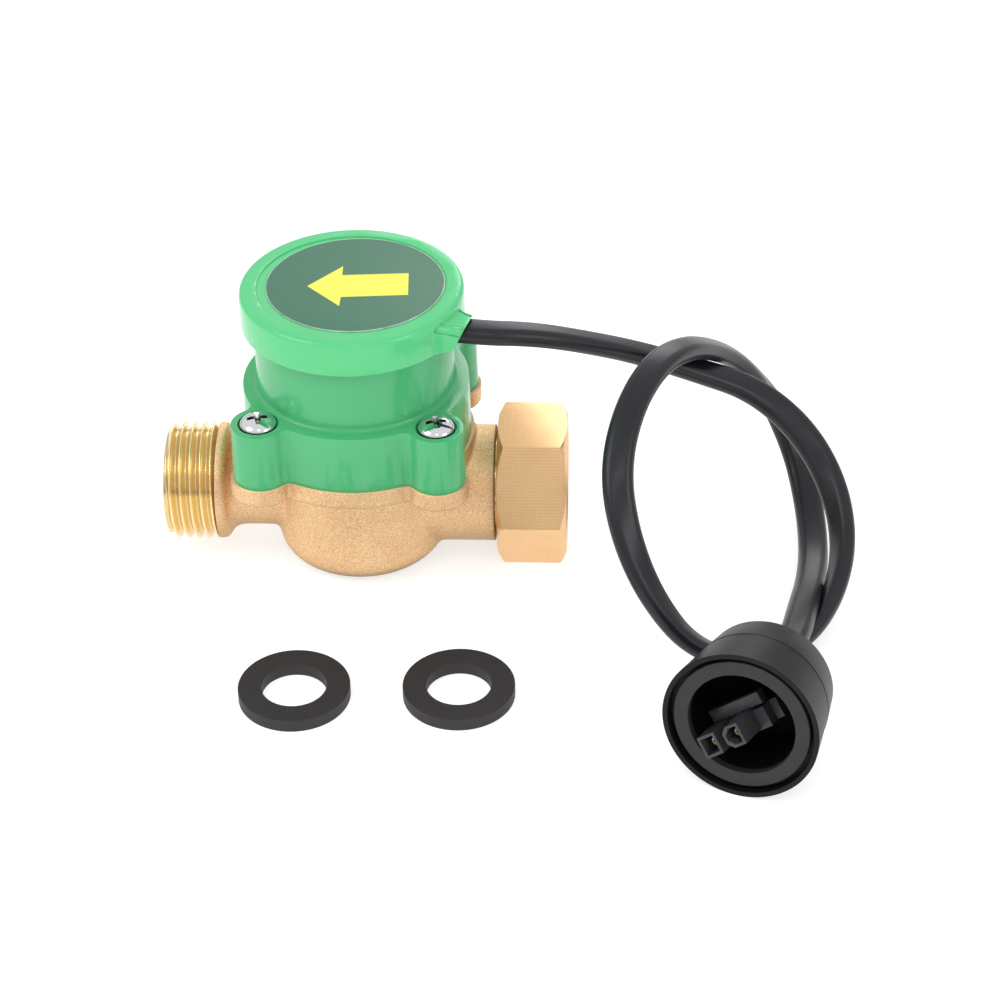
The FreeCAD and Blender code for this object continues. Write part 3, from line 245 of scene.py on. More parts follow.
BOSS_PLACES = [
    Matrix.Rotation(math.radians(-1.4), 2) @ Vector((a * BOSS_REACH, b * BOSS_REACH))
    for a in (-1, 1) for b in (-1, 1)
]
shape = bmesh.new()
add_cylinder(shape, CHAMBER, (0, 0, FOOT_ROUND), (0, 0, RAW_TOP - 0.001), 128)
add_cones(shape, [
    (CHAMBER - FOOT_ROUND + FOOT_ROUND * math.sin(math.radians(a)),
     (0, 0, FOOT_ROUND - FOOT_ROUND * math.cos(math.radians(a))))
    for a in range(0, 91, 15)], 128)
add_cylinder(shape, FLANGE, (0, 0, FLANGE_FOOT), (0, 0, RAW_TOP), 128)
for corner in BOSS_PLACES:
    add_cylinder(shape, BOSS, (*corner, FLANGE_FOOT), (*corner, RAW_TOP), 64)
add_cylinder(shape, NECK, (-0.026, 0, PIPE), (0, 0, PIPE))
add_cylinder(shape, THREAD_CREST, (-0.0300, 0, PIPE), (COLLAR_FACE, 0, PIPE))
add_cones(shape, [
    (NECK + NECK_BLEND - NECK_BLEND * math.sin(math.radians(a)),
     (COLLAR_FACE + NECK_BLEND - NECK_BLEND * math.cos(math.radians(a)), 0, PIPE))
    for a in range(0, 91, 30)])
add_cylinder(shape, STUB, (0, 0, PIPE), (0.029, 0, PIPE))
cast_body = finish_piece("cast_body", shape, "valve_body", cast_brass)
skin = cast_body.modifiers.new("skin", "REMESH")
skin.mode = "VOXEL"
skin.voxel_size = 0.00036
skin.use_smooth_shade = True
apply_modifiers(cast_body)


def ramp(value, start, width):
    """Climbs from 0 at start to 1 a width further on."""
    return min(1.0, max(0.0, (value - start) / width))


# The flange keeps its edges, and all that lies below it or out along the pipe is softened.
softness = cast_body.vertex_groups.new(name="softness")
for vert in cast_body.data.vertices:
    lift = ramp(vert.co.z, 0.0184, 0.0016)
    out = ramp(abs(vert.co.x), 0.0165, 0.0020) if abs(vert.co.y) < 0.0112 else 0.0
    softness.add([vert.index], 1.0 - 0.9 * lift * (1.0 - out), "REPLACE")
blend = cast_body.modifiers.new("blend", "SMOOTH")
blend.factor = 0.6
blend.iterations = 32
blend.vertex_group = "softness"
evening = cast_body.modifiers.new("evening", "SMOOTH")
evening.factor = 0.5
evening.iterations = 4
apply_modifiers(cast_body)


def cut_with(piece, cutter):
    """Takes a closed bmesh away from a piece."""
    mesh = bpy.data.meshes.new("cutter")
    cutter.to_mesh(mesh)
    cutter.free()
    tool = linked("cutter", mesh)
    step = piece.modifiers.new("bore", "BOOLEAN")
    step.operation = "DIFFERENCE"
    step.solver = "EXACT"
    step.object = tool
    apply_modifiers(piece)
    bpy.data.objects.remove(tool)
    bpy.data.meshes.remove(mesh)


def cut_away(piece, radius, start, end, segments=96):
    """Bores a round hole through a piece."""
    cutter = bmesh.new()
    add_cylinder(cutter, radius, start, end, segments)
    cut_with(piece, cutter)


def trim(piece, planes):
    """Cuts a piece flat at planes, each a point and the direction that is taken away."""
    cutting = bmesh.new()
    cutting.from_mesh(piece.data)
    for point, away in planes:
        whole = cutting.verts[:] + cutting.edges[:] + cutting.faces[:]
        found = bmesh.ops.bisect_plane(
            cutting, geom=whole, plane_co=point, plane_no=away, clear_outer=True)
        rim = [item for item in found["geom_cut"] if isinstance(item, bmesh.types.BMEdge)]
        bmesh.ops.holes_fill(cutting, edges=rim)
    cutting.to_mesh(piece.data)
    cutting.free()


trim(cast_body, (
    ((0, 0, BODY_TOP), (0, 0, 1)),
    ((STUB_FACE, 0, 0), (1, 0, 0)),
    ((THREAD_BACK, 0, 0), (-1, 0, 0)),
))
cut_away(cast_body, CHAMBER_BORE, (0, 0, CHAMBER_FLOOR), (0, 0, 0.040), 128)
cut_away(cast_body, BORE, (-0.040, 0, PIPE), (0.040, 0, PIPE))
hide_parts("brass_body")

# Outlet thread.
# Half-inch parallel pipe thread, single-point cut and left bright: 55 degree form, rounded at
# crest and root, 1.814 mm pitch. The first turn is chamfered away.
PITCH = 0.001814
THREAD_ROOT = 0.009316
THREAD_FRONT = -0.0344
CHAMFER_START = -0.0334

# Turned brass is smooth and bright, with a ripple of tone over about 1.7 mm. Painted shade darkens
# the roots of the thread against its lighter crests.
bright_brass, tree, shader, place = material("turned_bright_brass")
ripple = put(tree, "ShaderNodeTexNoise", {"Vector": place, "Scale": 600.0, "Detail": 3.0})
tone = put(tree, "ShaderNodeMix", {
    "Factor": ripple.outputs["Fac"], "A": linear("#eed197"), "B": linear("#f6dca7")}, data_type="RGBA")
across = put(tree, "ShaderNodeVectorMath", {0: place, 1: (0.0, 1.0, 1.0)}, operation="MULTIPLY")
depth = put(tree, "ShaderNodeVectorMath", {
    0: across.outputs["Vector"], 1: (0.0, 0.0, PIPE)}, operation="DISTANCE")
# Painted shade: darker towards the thread's roots, lighter towards its crests.
root_shade = put(tree, "ShaderNodeMapRange", {
    "Value": depth.outputs["Value"], "From Min": THREAD_ROOT, "From Max": THREAD_CREST,
    "To Min": 0.86, "To Max": 1.12})
tinted = put(tree, "ShaderNodeVectorMath", {
    0: tone.outputs["Result"], "Scale": root_shade.outputs["Result"]}, operation="SCALE")
tree.links.new(tinted.outputs["Vector"], shader.inputs["Base Color"])
shader.inputs["Metallic"].default_value = 1.0
shader.inputs["Roughness"].default_value = 0.24


def thread_profile(start, inner, outer):
    """One pitch of the thread's outline, from root to root, as points (x, radius)."""
    flat = 0.16
    steps = (
        (0, 0), (flat / 2, 0.02), (0.26, 0.32), (0.38, 0.76), (0.5 - flat / 2, 0.98), (0.5, 1),
        (0.5 + flat / 2, 0.98), (0.62, 0.76), (0.74, 0.32), (1 - flat / 2, 0.02), (1, 0),
    )
    return [(start + PITCH * x, inner + (outer - inner) * high) for x, high in steps]


def wind_thread(shape, start, turns, inner, outer, steps=72):
    """Winds the profile about the pipe's axis into a helical band."""
    verts = [shape.verts.new((x, 0, PIPE + r)) for x, r in thread_profile(start, inner, outer)]
    edges = [shape.edges.new(pair) for pair in zip(verts, verts[1:])]
    bmesh.ops.spin(
        shape, geom=verts + edges, cent=(0, 0, PIPE), axis=(1, 0, 0),
        dvec=(PITCH / steps, 0, 0), angle=2 * math.pi * turns, steps=steps * turns)
    bmesh.ops.remove_doubles(shape, verts=shape.verts, dist=1e-6)


def slice_flat(shape, x, away):
    """Cuts everything off past x and returns the new open rim."""
    whole = shape.verts[:] + shape.edges[:] + shape.faces[:]
    found = bmesh.ops.bisect_plane(
        shape, geom=whole, plane_co=(x, 0, 0), plane_no=(away, 0, 0), clear_outer=True)
    return [item for item in found["geom_cut"] if isinstance(item, bmesh.types.BMEdge)]


def draw_in(shape, rim, x, radius):
    """Extrudes a rim to a circle of that radius about the pipe's axis, at x."""
    made = bmesh.ops.extrude_edge_only(shape, edges=rim)["geom"]
    for vert in [item for item in made if isinstance(item, bmesh.types.BMVert)]:
        away = math.hypot(vert.co.y, vert.co.z - PIPE)
        vert.co.y *= radius / away
        vert.co.z = PIPE + (vert.co.z - PIPE) * radius / away
        vert.co.x = x
    return [item for item in made if isinstance(item, bmesh.types.BMEdge)]


shape = bmesh.new()
wind_thread(shape, -0.0380, 9, THREAD_ROOT, THREAD_CREST)
front = slice_flat(shape, THREAD_FRONT, -1)
back = slice_flat(shape, THREAD_BACK, 1)
for vert in shape.verts:
    away = math.hypot(vert.co.y, vert.co.z - PIPE)
    most = THREAD_CREST - max(0.0, CHAMFER_START - vert.co.x)
    if away > most:
        vert.co.y *= most / away
        vert.co.z = PIPE + (vert.co.z - PIPE) * most / away
front = draw_in(shape, front, THREAD_FRONT, BORE + 0.0004)
front = draw_in(shape, front, THREAD_FRONT + 0.0004, BORE)
front = draw_in(shape, front, THREAD_BACK, BORE)
back = draw_in(shape, back, THREAD_BACK, BORE + 0.0020)
bmesh.ops.bridge_loops(shape, edges=front + back)
bmesh.ops.remove_doubles(shape, verts=shape.verts, dist=2e-7)
bmesh.ops.recalc_face_normals(shape, faces=shape.faces)
outlet_thread = finish_piece("outlet_thread", shape, "valve_body", bright_brass)
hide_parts("brass_body")

# Tail.
# The turned end of the brass body that carries the nut, bright from the tool. The groove near its
# end takes the snap ring, and the waterway runs on through it.
TAIL = 0.0080
TAIL_END = 0.0302
GROOVE = 0.0072


def turn_profile(points, axis_start, axis_end, steps=96, closed=True):
    """Spins an outline of (along, radius) points about an axis into a turned piece."""
    shape = bmesh.new()
    start = Vector(axis_start)
    along = (Vector(axis_end) - start).normalized()
    side = along.orthogonal().normalized()
    verts = [shape.verts.new(start + along * x + side * r) for x, r in points]
    onward = verts[1:] + verts[:1] if closed else verts[1:]
    edges = [shape.edges.new(pair) for pair in zip(verts, onward)]
    bmesh.ops.spin(
        shape, geom=verts + edges, cent=start, axis=along, angle=2 * math.pi, steps=steps,
        use_merge=True)
    bmesh.ops.remove_doubles(shape, verts=shape.verts, dist=1e-7)
    bmesh.ops.recalc_face_normals(shape, faces=shape.faces)
    return shape


shape = turn_profile(
    ((STUB_FACE, BORE), (STUB_FACE, TAIL), (0.0272, TAIL), (0.0272, GROOVE), (0.0282, GROOVE),
     (0.0282, TAIL), (TAIL_END - 0.0002, TAIL), (TAIL_END, TAIL - 0.0002), (TAIL_END, BORE)),
    (0, 0, PIPE), (1, 0, PIPE))
nut_tail = finish_piece("nut_tail", shape, "valve_body", bright_brass, False)
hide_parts("brass_body")

# Union nut.
# Turned and bored from hexagon brass bar, and free to spin on the tail behind the snap ring. Its
# flats keep the bar's satin finish.


def break_edges(node, width, coat):
    """Joins a node's triangles into clean faces and bevels its sharp edges."""
    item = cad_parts[node]
    weld = item.modifiers.new("weld", "WELD")
    weld.merge_threshold = 2e-7
    plain = item.modifiers.new("plain", "DECIMATE")
    plain.decimate_type = "DISSOLVE"
    plain.angle_limit = math.radians(0.4)
    edge = item.modifiers.new("edge", "BEVEL")
    edge.width = width
    edge.segments = 3
    edge.limit_method = "ANGLE"
    edge.angle_limit = math.radians(32.0)
    edge.use_clamp_overlap = True
    edge.harden_normals = True
    for slot in item.material_slots:
        slot.material = coat
    for face in item.data.polygons:
        face.use_smooth = True


# Satin brass glows more than it mirrors. Its fine crossed lines are drawn 0.42 and 0.47 mm apart,
# coarser than the real ones of about 0.1 mm, so that they show, over a 4.5 mm drift of tone. The
# bands of a wave texture repeat every 0.314 / scale.
satin_brass, tree, shader, place = material("satin_hexagon_brass")
lines = []
for axis, spacing in (("X", 0.00042), ("Z", 0.00047)):
    lines.append(put(tree, "ShaderNodeTexWave", {
        "Vector": place, "Scale": 0.314 / spacing, "Distortion": 3.5, "Detail": 2.0,
        "Detail Scale": 3.0}, bands_direction=axis, wave_type="BANDS"))
cross = put(tree, "ShaderNodeMath", {
    0: lines[0].outputs["Fac"], 1: lines[1].outputs["Fac"]}, operation="ADD")
cloud = put(tree, "ShaderNodeTexNoise", {"Vector": place, "Scale": 220.0, "Detail": 3.0})
mixed = put(tree, "ShaderNodeMath", {
    0: cross.outputs[0], 1: cloud.outputs["Fac"]}, operation="ADD")
spread = put(tree, "ShaderNodeMapRange", {
    "Value": mixed.outputs[0], "From Min": 0.4, "From Max": 2.6, "To Min": 0.0, "To Max": 1.0})
tone = put(tree, "ShaderNodeMix", {
    "Factor": spread.outputs["Result"], "A": linear("#e3b681"), "B": linear("#f2ca97")},
    data_type="RGBA")
tree.links.new(tone.outputs["Result"], shader.inputs["Base Color"])
shader.inputs["Metallic"].default_value = 1.0
shader.inputs["Roughness"].default_value = 0.28
relief = put(tree, "ShaderNodeBump", {
    "Height": cross.outputs[0], "Strength": 0.08, "Distance": 0.00005})
tree.links.new(relief.outputs[0], shader.inputs["Normal"])
break_edges("union_nut", 0.00015, satin_brass)

# Snap ring, rotor shaft and cord ferrule.
# Plain steel parts: the ring is bent from spring wire and sits in the tail's groove, the shaft is
# ground rod held in the two bearings, and the ferrule is pressed round the cord in the housing.

# Bare steel is a cool grey and fairly bright, mottled over about 1.2 mm.
steel, tree, shader, place = material("spring_steel")
shader.inputs["Metallic"].default_value = 1.0
shader.inputs["Roughness"].default_value = 0.3
brush = put(tree, "ShaderNodeTexNoise", {"Vector": place, "Scale": 800.0, "Detail": 2.0})
tone = put(tree, "ShaderNodeMix", {
    "Factor": brush.outputs["Fac"], "A": linear("#a9abae"), "B": linear("#c6c8ca")}, data_type="RGBA")
tree.links.new(tone.outputs["Result"], shader.inputs["Base Color"])
for node in ("nut_snap_ring", "rotor_shaft", "cord_ferrule"):
    break_edges(node, 0.00008, steel)

# Washers and seal.
# Punched nitrile rubber. Two flat washers for the pipe's joints lie loose in front of the body,
# and a ring is pressed between the chamber's mouth and the housing.


def round_off(piece, width, segments=3, angle=30.0):
    """Rounds a made piece's sharp edges and shades it smoothly."""
    edge = piece.modifiers.new("edge", "BEVEL")
    edge.width = width
    edge.segments = segments
    edge.limit_method = "ANGLE"
    edge.angle_limit = math.radians(angle)
    edge.harden_normals = True
    for face in piece.data.polygons:
        face.use_smooth = True


# Nitrile is matt and near black, with a slight grey bloom in patches of about 4 mm.
nitrile, tree, shader, place = material("punched_nitrile_rubber")
bloom = put(tree, "ShaderNodeTexNoise", {"Vector": place, "Scale": 260.0, "Detail": 5.0})
tone = put(tree, "ShaderNodeMix", {
    "Factor": bloom.outputs["Fac"], "A": linear("#252123"), "B": linear("#2e292c")}, data_type="RGBA")
tree.links.new(tone.outputs["Result"], shader.inputs["Base Color"])
shader.inputs["Roughness"].default_value = 0.62
for node, spot in (("washer_left", (-0.0083, -0.0456)), ("washer_right", (0.0195, -0.0447))):
    shape = turn_profile(
        ((0.0, 0.0056), (0.0001, 0.0055), (0.0023, 0.0055), (0.0024, 0.0056), (0.0024, 0.0094),
         (0.0023, 0.0095), (0.0001, 0.0095), (0.0, 0.0094)),
        (*spot, 0), (*spot, 1), 128)
    washer = finish_piece("rubber_" + node, shape, "valve_body", nitrile, False)
    round_off(washer, 0.00012)
    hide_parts(node)
shape = turn_profile(
    ((0.0226, 0.0121), (0.0226, 0.0136), (0.0240, 0.0136), (0.0240, 0.0121)),
    (0, 0, 0), (0, 0, 1), 128)
seal = finish_piece("mouth_seal", shape, "valve_body", nitrile, False)
round_off(seal, 0.0003)
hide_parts("chamber_seal")

# Bearings, paddle wheel and magnets.
# The wheel is moulded acetal and turns on the steel shaft between two acetal bushes. Two sintered
# ferrite magnets are pressed into its disc and pass under the sensor.

# Acetal is milky white with a soft sheen.
acetal, _, shader, _ = material("white_acetal")
shader.inputs["Base Color"].default_value = linear("#e9e8e2")
shader.inputs["Roughness"].default_value = 0.4
for node in ("lower_bearing", "upper_bearing", "paddle_wheel"):
    break_edges(node, 0.00015, acetal)

# Ferrite is a dull charcoal grey.
ferrite, _, shader, _ = material("sintered_ferrite")
shader.inputs["Base Color"].default_value = linear("#3a3a3d")
shader.inputs["Roughness"].default_value = 0.6
for node in ("rotor_magnet_1", "rotor_magnet_2"):
    break_edges(node, 0.0001, ferrite)

# Sensor housing.
# Injection-moulded polypropylene in signal green. Its four bosses are screwed down on the seal,
# and its drum keeps the electronics dry over the paddle wheel.

# Moulded gloss over a tone that drifts with the plastic's flow, over about 17 mm.
green, tree, shader, place = material("moulded_green_plastic")
flow = put(tree, "ShaderNodeTexNoise", {"Vector": place, "Scale": 60.0, "Detail": 3.0})
tone = put(tree, "ShaderNodeMix", {
    "Factor": flow.outputs["Fac"], "A": linear("#4ab473"), "B": linear("#55bf7f")}, data_type="RGBA")
tree.links.new(tone.outputs["Result"], shader.inputs["Base Color"])
shader.inputs["Roughness"].default_value = 0.18
break_edges("sensor_housing", 0.0004, green)

# Housing screws.
# Four pan-head steel screws with a cross recess, chrome plated. They pass through the housing's
# bosses and are driven into the body's flange.
HEAD_FOOT = 0.0342
HEAD = 0.00325
HEAD_RIM = 0.0003
HEAD_DOME = 0.0017
SHANK = 0.00145
SHANK_END = 0.0212
CROSS_DEPTH = 0.0020
CROSS_MIDDLE = 0.0361
CROSS_TURN = 12

# Chrome is a near mirror; the cross is dark with painted shade, where no light reaches.
chrome, tree, shader, _ = material("bright_chrome_plate")
occlusion_shade = put(tree, "ShaderNodeAmbientOcclusion", {"Distance": 0.0012}, samples=8)
depth = put(tree, "ShaderNodeMapRange", {
    "Value": occlusion_shade.outputs["AO"], "From Min": 0.45, "From Max": 0.85, "To Min": 0.0, "To Max": 1.0})
tone = put(tree, "ShaderNodeMix", {
    "Factor": depth.outputs["Result"], "A": linear("#3c3c40"), "B": linear("#e6e6e8")},
    data_type="RGBA")
tree.links.new(tone.outputs["Result"], shader.inputs["Base Color"])
shader.inputs["Metallic"].default_value = 1.0
shader.inputs["Roughness"].default_value = 0.1
for number, corner in enumerate(BOSS_PLACES, 1):
    dome = [
        (HEAD_FOOT + HEAD_RIM + HEAD_DOME * math.sin(math.radians(a)),
         HEAD * math.cos(math.radians(a)))
        for a in range(0, 91, 9)
    ]
    shape = turn_profile(
        [(SHANK_END, 0), (SHANK_END, SHANK), (HEAD_FOOT, SHANK), (HEAD_FOOT, HEAD), *dome],
        (*corner, 0), (*corner, 1), 64, False)
    screw = finish_piece(f"chrome_screw_{number}", shape, "valve_body", chrome)
    for quarter in (0, 90):  # each arm of the cross is a tapered four-sided punch
        bar = bmesh.new()
        turn = Matrix.Rotation(math.radians(quarter + CROSS_TURN), 4, "Z")
        bmesh.ops.create_cone(
            bar, cap_ends=True, segments=4, radius1=0.0006, radius2=0.0016, depth=CROSS_DEPTH,
            matrix=Matrix.Translation((*corner, CROSS_MIDDLE)) @ turn
            @ Matrix.Diagonal((2.6, 0.62, 1.0, 1.0)) @ Matrix.Rotation(math.radians(45), 4, "Z"))
        cut_with(screw, bar)
    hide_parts(f"housing_screw_{number}")
    round_off(screw, 0.00006, 2, 35.0)

# Electronics.
# A small glass-laminate board in the housing's drum, with a magnetic sensor, a triac and a few
# more moulded components soldered to it. The cord's two cores are soldered to it as well.

# The laminate is plain under green lacquer.
laminate, _, shader, _ = material("green_board_laminate")
shader.inputs["Base Color"].default_value = linear("#2b6b3c")
break_edges("circuit_board", 0.0001, laminate)

# Moulding compound is black and satin, speckled over about 1 mm.
epoxy, tree, shader, place = material("black_moulding_compound")
speck = put(tree, "ShaderNodeTexNoise", {"Vector": place, "Scale": 900.0, "Detail": 2.0})
tone = put(tree, "ShaderNodeMix", {
    "Factor": speck.outputs["Fac"], "A": linear("#1d1d20"), "B": linear("#2c2c30")}, data_type="RGBA")
tree.links.new(tone.outputs["Result"], shader.inputs["Base Color"])
shader.inputs["Roughness"].default_value = 0.45
for node in (
    "hall_sensor", "triac", "capacitor", "resistor_1", "resistor_2", "lead_live", "lead_neutral",
):
    break_edges(node, 0.00015, epoxy)

# Cap.
# Moulded in a paler green than the housing and pressed into its drum. The cord leaves through the
# spout on its side, whose upper corners are rolled over the cord.
SPOUT_TURN = Matrix.Rotation(math.radians(-14.0), 4, "Z")
SPOUT_MIDDLE = -0.0032
SPOUT_MOUTH = ((0.0200, 0, 0.04735), (0.9063, 0, -0.4226))  # a point of the mouth and its way out
SPOUT_RIMS = (  # how far out, half its width and its top, from the root to the mouth
    (0.0174, 0.0053, 0.0529), (0.0183, 0.00450, 0.05237), (0.0192, 0.0039, 0.05195),
    (0.0205, 0.00338, 0.05157), (0.0219, 0.0031, 0.0514), (0.0226, 0.0031, 0.0514),
)
CORNER_ROLL = 0.0011
CORNER_WALL = 0.0003

# The same moulded gloss as the housing, with a drift of tone over about 14 mm.
lime, tree, shader, place = material("moulded_cap_plastic")
flow = put(tree, "ShaderNodeTexNoise", {"Vector": place, "Scale": 70.0, "Detail": 3.0})
tone = put(tree, "ShaderNodeMix", {
    "Factor": flow.outputs["Fac"], "A": linear("#57cd82"), "B": linear("#60d58a")}, data_type="RGBA")
tree.links.new(tone.outputs["Result"], shader.inputs["Base Color"])
shader.inputs["Roughness"].default_value = 0.15
break_edges("cap", 0.0003, lime)

for side, word in ((-1, "left"), (1, "right")):
    shape = bmesh.new()
    rims = []
    for reach, half, high in SPOUT_RIMS:
        rim = []
        for angle in range(0, 91, 18):
            out = half - CORNER_ROLL + CORNER_ROLL * math.sin(math.radians(angle))
            up = high - CORNER_ROLL + CORNER_ROLL * math.cos(math.radians(angle))
            rim.append(shape.verts.new((reach, SPOUT_MIDDLE + side * out, up)))
        for inset, drop in ((CORNER_WALL, CORNER_ROLL), (CORNER_ROLL, CORNER_WALL)):
            rim.append(shape.verts.new((reach, SPOUT_MIDDLE + side * (half - inset), high - drop)))
        rims.append([shape.edges.new((a, b)) for a, b in zip(rim, rim[1:] + rim[:1])])
    for near, far in zip(rims, rims[1:]):
        bmesh.ops.bridge_loops(shape, edges=near + far)
    bmesh.ops.holes_fill(shape, edges=rims[0] + rims[-1])
    bmesh.ops.recalc_face_normals(shape, faces=shape.faces)
    corner = finish_piece("spout_corner_" + word, shape, "valve_body", lime)
    trim(corner, (SPOUT_MOUTH,))
    corner.data.transform(SPOUT_TURN)

# Label and its arrow.
# A round vinyl label, printed dark green and stuck in the cap's recess. A plain yellow arrow shows
# which way the water flows.
LABEL_MIDDLE = (0.00065, 0.0003, 0.05355)
LABEL_TOP = 0.05353
INK = 0.00005
ARROW = (  # its corners in millimetres
    (-7.5, -0.6), (-1.5, -7.0), (-1.45, -4.1), (9.95, -3.25), (9.6, 3.9), (-1.8, 3.1), (-1.9, 6.1),
)

# Printed vinyl is satin with a grain of 0.4 mm, coarser than the real print so that it shows.
# Its cut edge is pale in places of about 3 mm, where the print has worn off.
film, tree, shader, place = material("printed_vinyl_label")
grain = put(tree, "ShaderNodeTexNoise", {"Vector": place, "Scale": 2600.0, "Detail": 2.0})
tone = put(tree, "ShaderNodeMix", {
    "Factor": grain.outputs["Fac"], "A": linear("#3f6f57"), "B": linear("#53876d")}, data_type="RGBA")
reach = put(tree, "ShaderNodeVectorMath", {0: place, 1: LABEL_MIDDLE}, operation="DISTANCE")
cut_edge = put(tree, "ShaderNodeMapRange", {
    "Value": reach.outputs["Value"], "From Min": 0.01518, "From Max": 0.01530,
    "To Min": 0.0, "To Max": 1.0})
patchy = put(tree, "ShaderNodeTexNoise", {"Vector": place, "Scale": 350.0, "Detail": 2.0})
worn = put(tree, "ShaderNodeMath", {
    0: cut_edge.outputs["Result"], 1: patchy.outputs["Fac"]}, operation="MULTIPLY")
edged = put(tree, "ShaderNodeMix", {
    "Factor": worn.outputs[0], "A": tone.outputs["Result"], "B": linear("#f4fbf6")}, data_type="RGBA")
tree.links.new(edged.outputs["Result"], shader.inputs["Base Color"])
shader.inputs["Roughness"].default_value = 0.5
break_edges("label", 0.00005, film)

# Screen-printed ink is flat and satin, and stands just proud of the film.
yellow, _, shader, _ = material("yellow_ink")
shader.inputs["Base Color"].default_value = linear("#fbf65c")
shader.inputs["Roughness"].default_value = 0.5
shape = bmesh.new()
printed = shape.faces.new([shape.verts.new((x / 1000, y / 1000, LABEL_TOP)) for x, y in ARROW])
raised = bmesh.ops.extrude_face_region(shape, geom=[printed])["geom"]
bmesh.ops.translate(
    shape, verts=[item for item in raised if isinstance(item, bmesh.types.BMVert)], vec=(0, 0, INK))
bmesh.ops.recalc_face_normals(shape, faces=shape.faces)
finish_piece("label_arrow", shape, "valve_body", yellow, False)

# Cord.
# Flat two-core cable in soft black PVC, about a third of a metre long. It leaves the cap, makes
# one standing loop and ends in the terminal cap's gland.
CORD_WIDTH = 0.0053
CORD_THICKNESS = 0.0032
# Its middle line in millimetres, from the ferrule in the housing to the gland.
CORD_ROUTE = (
    (10.4, -5.9, 49.3), (21.5, -8.6, 49.4), (31.2, -5.9, 47.6), (40.4, -1.7, 43.4),
    (49.5, 2.8, 38.4), (59.3, 5.8, 33.1), (69.9, 6.8, 28.6), (78.6, 3.2, 22.4),
    (84.2, -3.7, 15.2), (85.9, -12.8, 9.0), (83.6, -22.5, 4.4), (77.9, -31.8, 1.8),
    (68.6, -37.9, 2.2), (58.8, -40.3, 7.0), (51.8, -38.7, 16.3), (47.3, -34.6, 25.8),
    (45.4, -27.9, 34.4), (47.5, -19.0, 41.0), (52.0, -9.1, 43.7), (57.2, 0.4, 41.1),
    (62.1, 9.1, 35.5), (67.7, 15.8, 28.6), (73.5, 18.3, 19.4), (78.7, 14.5, 10.1),
    (80.9, 5.4, 3.9), (81.2, -5.6, 1.8), (79.9, -17.0, 3.5), (77.9, -28.0, 6.6),
    (75.81, -39.81, 9.3), (72.59, -48.67, 10.48),
)
# The turn of its flat side about that line at each point, in degrees.
CORD_TURN = (
    0, 0, 0, 0, 4, 10, 20, 34, 48, 56, 56, 46, 27, 10, 2, 0, 0, 2, 5, 10, 12, 9, 4,
    0, 0, 0, 0, 0, 0, 0,
)

# Soft PVC is near black with gentle highlights: its tone clouds over about 11 mm, and its skin is
# uneven over 0.7 mm, so that no highlight is glassy.
pvc, tree, shader, place = material("soft_black_pvc")
haze = put(tree, "ShaderNodeTexNoise", {"Vector": place, "Scale": 90.0, "Detail": 3.0})
tone = put(tree, "ShaderNodeMix", {
    "Factor": haze.outputs["Fac"], "A": linear("#17171b"), "B": linear("#1e1f24")}, data_type="RGBA")
tree.links.new(tone.outputs["Result"], shader.inputs["Base Color"])
shader.inputs["Roughness"].default_value = 0.33
shader.inputs["Specular IOR Level"].default_value = 0.4
skin = put(tree, "ShaderNodeTexNoise", {"Vector": place, "Scale": 1400.0, "Detail": 2.0})
relief = put(tree, "ShaderNodeBump", {
    "Height": skin.outputs["Fac"], "Strength": 0.12, "Distance": 0.0001})
tree.links.new(relief.outputs[0], shader.inputs["Normal"])

line = bpy.data.curves.new("flat_cord", "CURVE")
line.dimensions = "3D"
line.twist_mode = "Z_UP"
line.bevel_depth = CORD_THICKNESS / 2
line.extrude = (CORD_WIDTH - CORD_THICKNESS) / 2
line.bevel_resolution = 5
line.resolution_u = 10
line.use_fill_caps = True
run = line.splines.new("NURBS")
run.points.add(len(CORD_ROUTE) - 1)
for point, stop, turn in zip(run.points, CORD_ROUTE, CORD_TURN):
    point.co = (*[value / 1000 for value in stop], 1.0)
    point.tilt = math.radians(90 + turn)
run.order_u = 3
run.use_endpoint_u = True
line.materials.append(pvc)
flat_cord = linked("flat_cord", line)
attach(flat_cord, "valve_body")
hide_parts("cord")

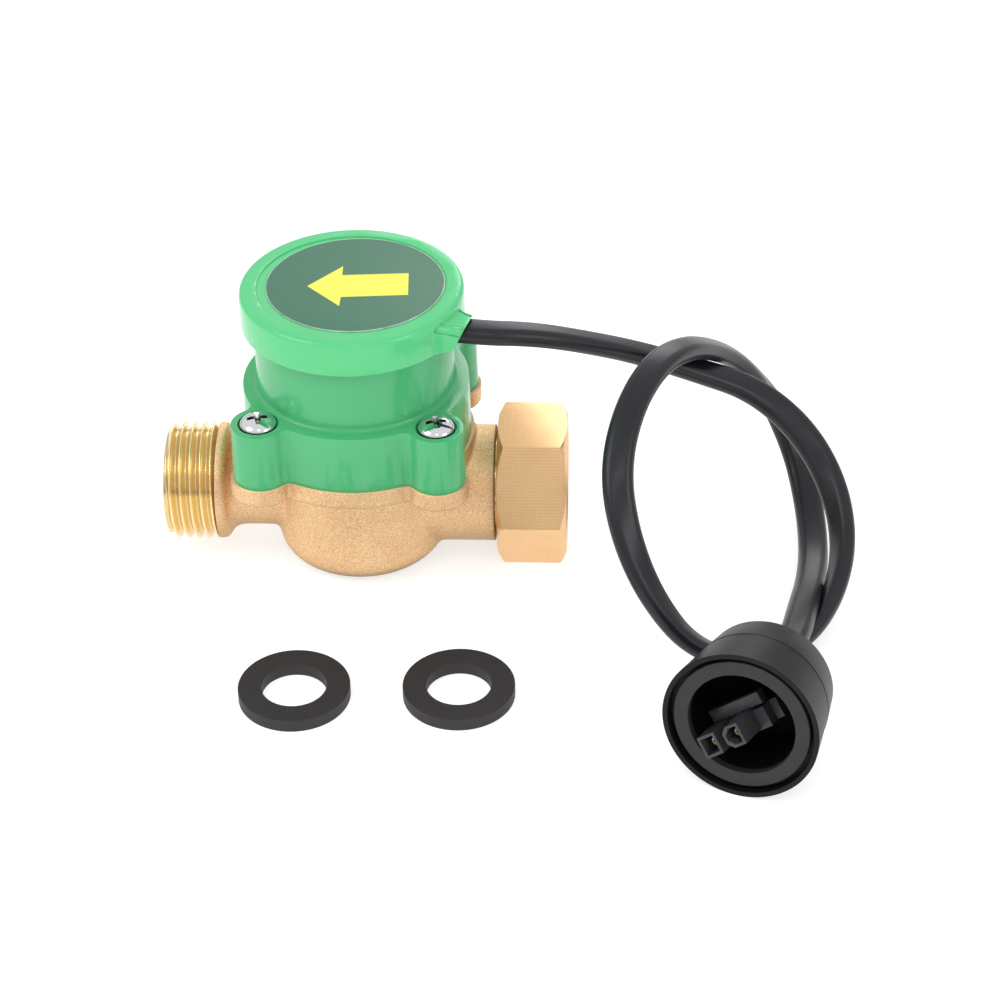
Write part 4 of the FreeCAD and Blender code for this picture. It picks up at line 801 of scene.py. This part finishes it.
# Terminal cap.
# Moulded black rubber cup that slips over the connector, with a grey rubber ring in its mouth. It
# lies on its rim and on the step round its waist.
CUP_MOUTH = Vector((0.0657, -0.0676, 0.012999))
CUP_INWARD = Vector((0.33938, 0.93244, -0.12403))
CUP_OUTLINE = (  # along the cup's axis from its mouth, and out from it
    (0.0203, 0), (0.0203, 0.0040), (0.0163, 0.0040), (0.0163, 0.0098), (0.0160, 0.0105),
    (0.0153, 0.01088), (0.0092, 0.01190), (0.0091, 0.01184), (0.0, 0.0131), (0.0, 0.01225),
    (0.0021, 0.01225), (0.0021, 0.0104), (0.0137, 0.0092), (0.0137, 0),
)
RING_OUTLINE = ((0.0006, 0.0114), (0.0006, 0.00895), (0.0021, 0.00895), (0.0021, 0.0114))

# Moulded rubber is the blackest thing here and dull, with a bloom in patches of about 3 mm.
cup_rubber, tree, shader, place = material("moulded_cup_rubber")
bloom = put(tree, "ShaderNodeTexNoise", {"Vector": place, "Scale": 300.0, "Detail": 5.0})
tone = put(tree, "ShaderNodeMix", {
    "Factor": bloom.outputs["Fac"], "A": linear("#100f11"), "B": linear("#1a181b")}, data_type="RGBA")
tree.links.new(tone.outputs["Result"], shader.inputs["Base Color"])
shader.inputs["Roughness"].default_value = 0.42
shader.inputs["Specular IOR Level"].default_value = 0.2
shape = turn_profile(CUP_OUTLINE, CUP_MOUTH, CUP_MOUTH + CUP_INWARD, 160, False)
cup = finish_piece("terminal_cup", shape, "valve_body", cup_rubber)
round_off(cup, 0.00022)
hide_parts("plug_cup")
shape = turn_profile(RING_OUTLINE, CUP_MOUTH, CUP_MOUTH + CUP_INWARD, 160)
mouth_ring = finish_piece("mouth_ring", shape, "valve_body", nitrile)
round_off(mouth_ring, 0.00015)
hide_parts("plug_ring")

# Connector.
# A moulded nylon housing with a latch bar and two brass terminals pressed in, tucked into the
# terminal cap on the cord's two cores.

# Nylon is a greyer black than the rubber round it, with flow marks of about 2.5 mm.
nylon, tree, shader, place = material("black_nylon")
flow = put(tree, "ShaderNodeTexNoise", {"Vector": place, "Scale": 400.0, "Detail": 3.0})
tone = put(tree, "ShaderNodeMix", {
    "Factor": flow.outputs["Fac"], "A": linear("#333336"), "B": linear("#424246")}, data_type="RGBA")
tree.links.new(tone.outputs["Result"], shader.inputs["Base Color"])
shader.inputs["Roughness"].default_value = 0.3
for node in ("connector_housing", "connector_latch"):
    break_edges(node, 0.00015, nylon)
for node in ("plug_lead_1", "plug_lead_2"):
    break_edges(node, 0.0001, pvc)
for node in ("connector_terminal_1", "connector_terminal_2"):
    break_edges(node, 0.00005, bright_brass)
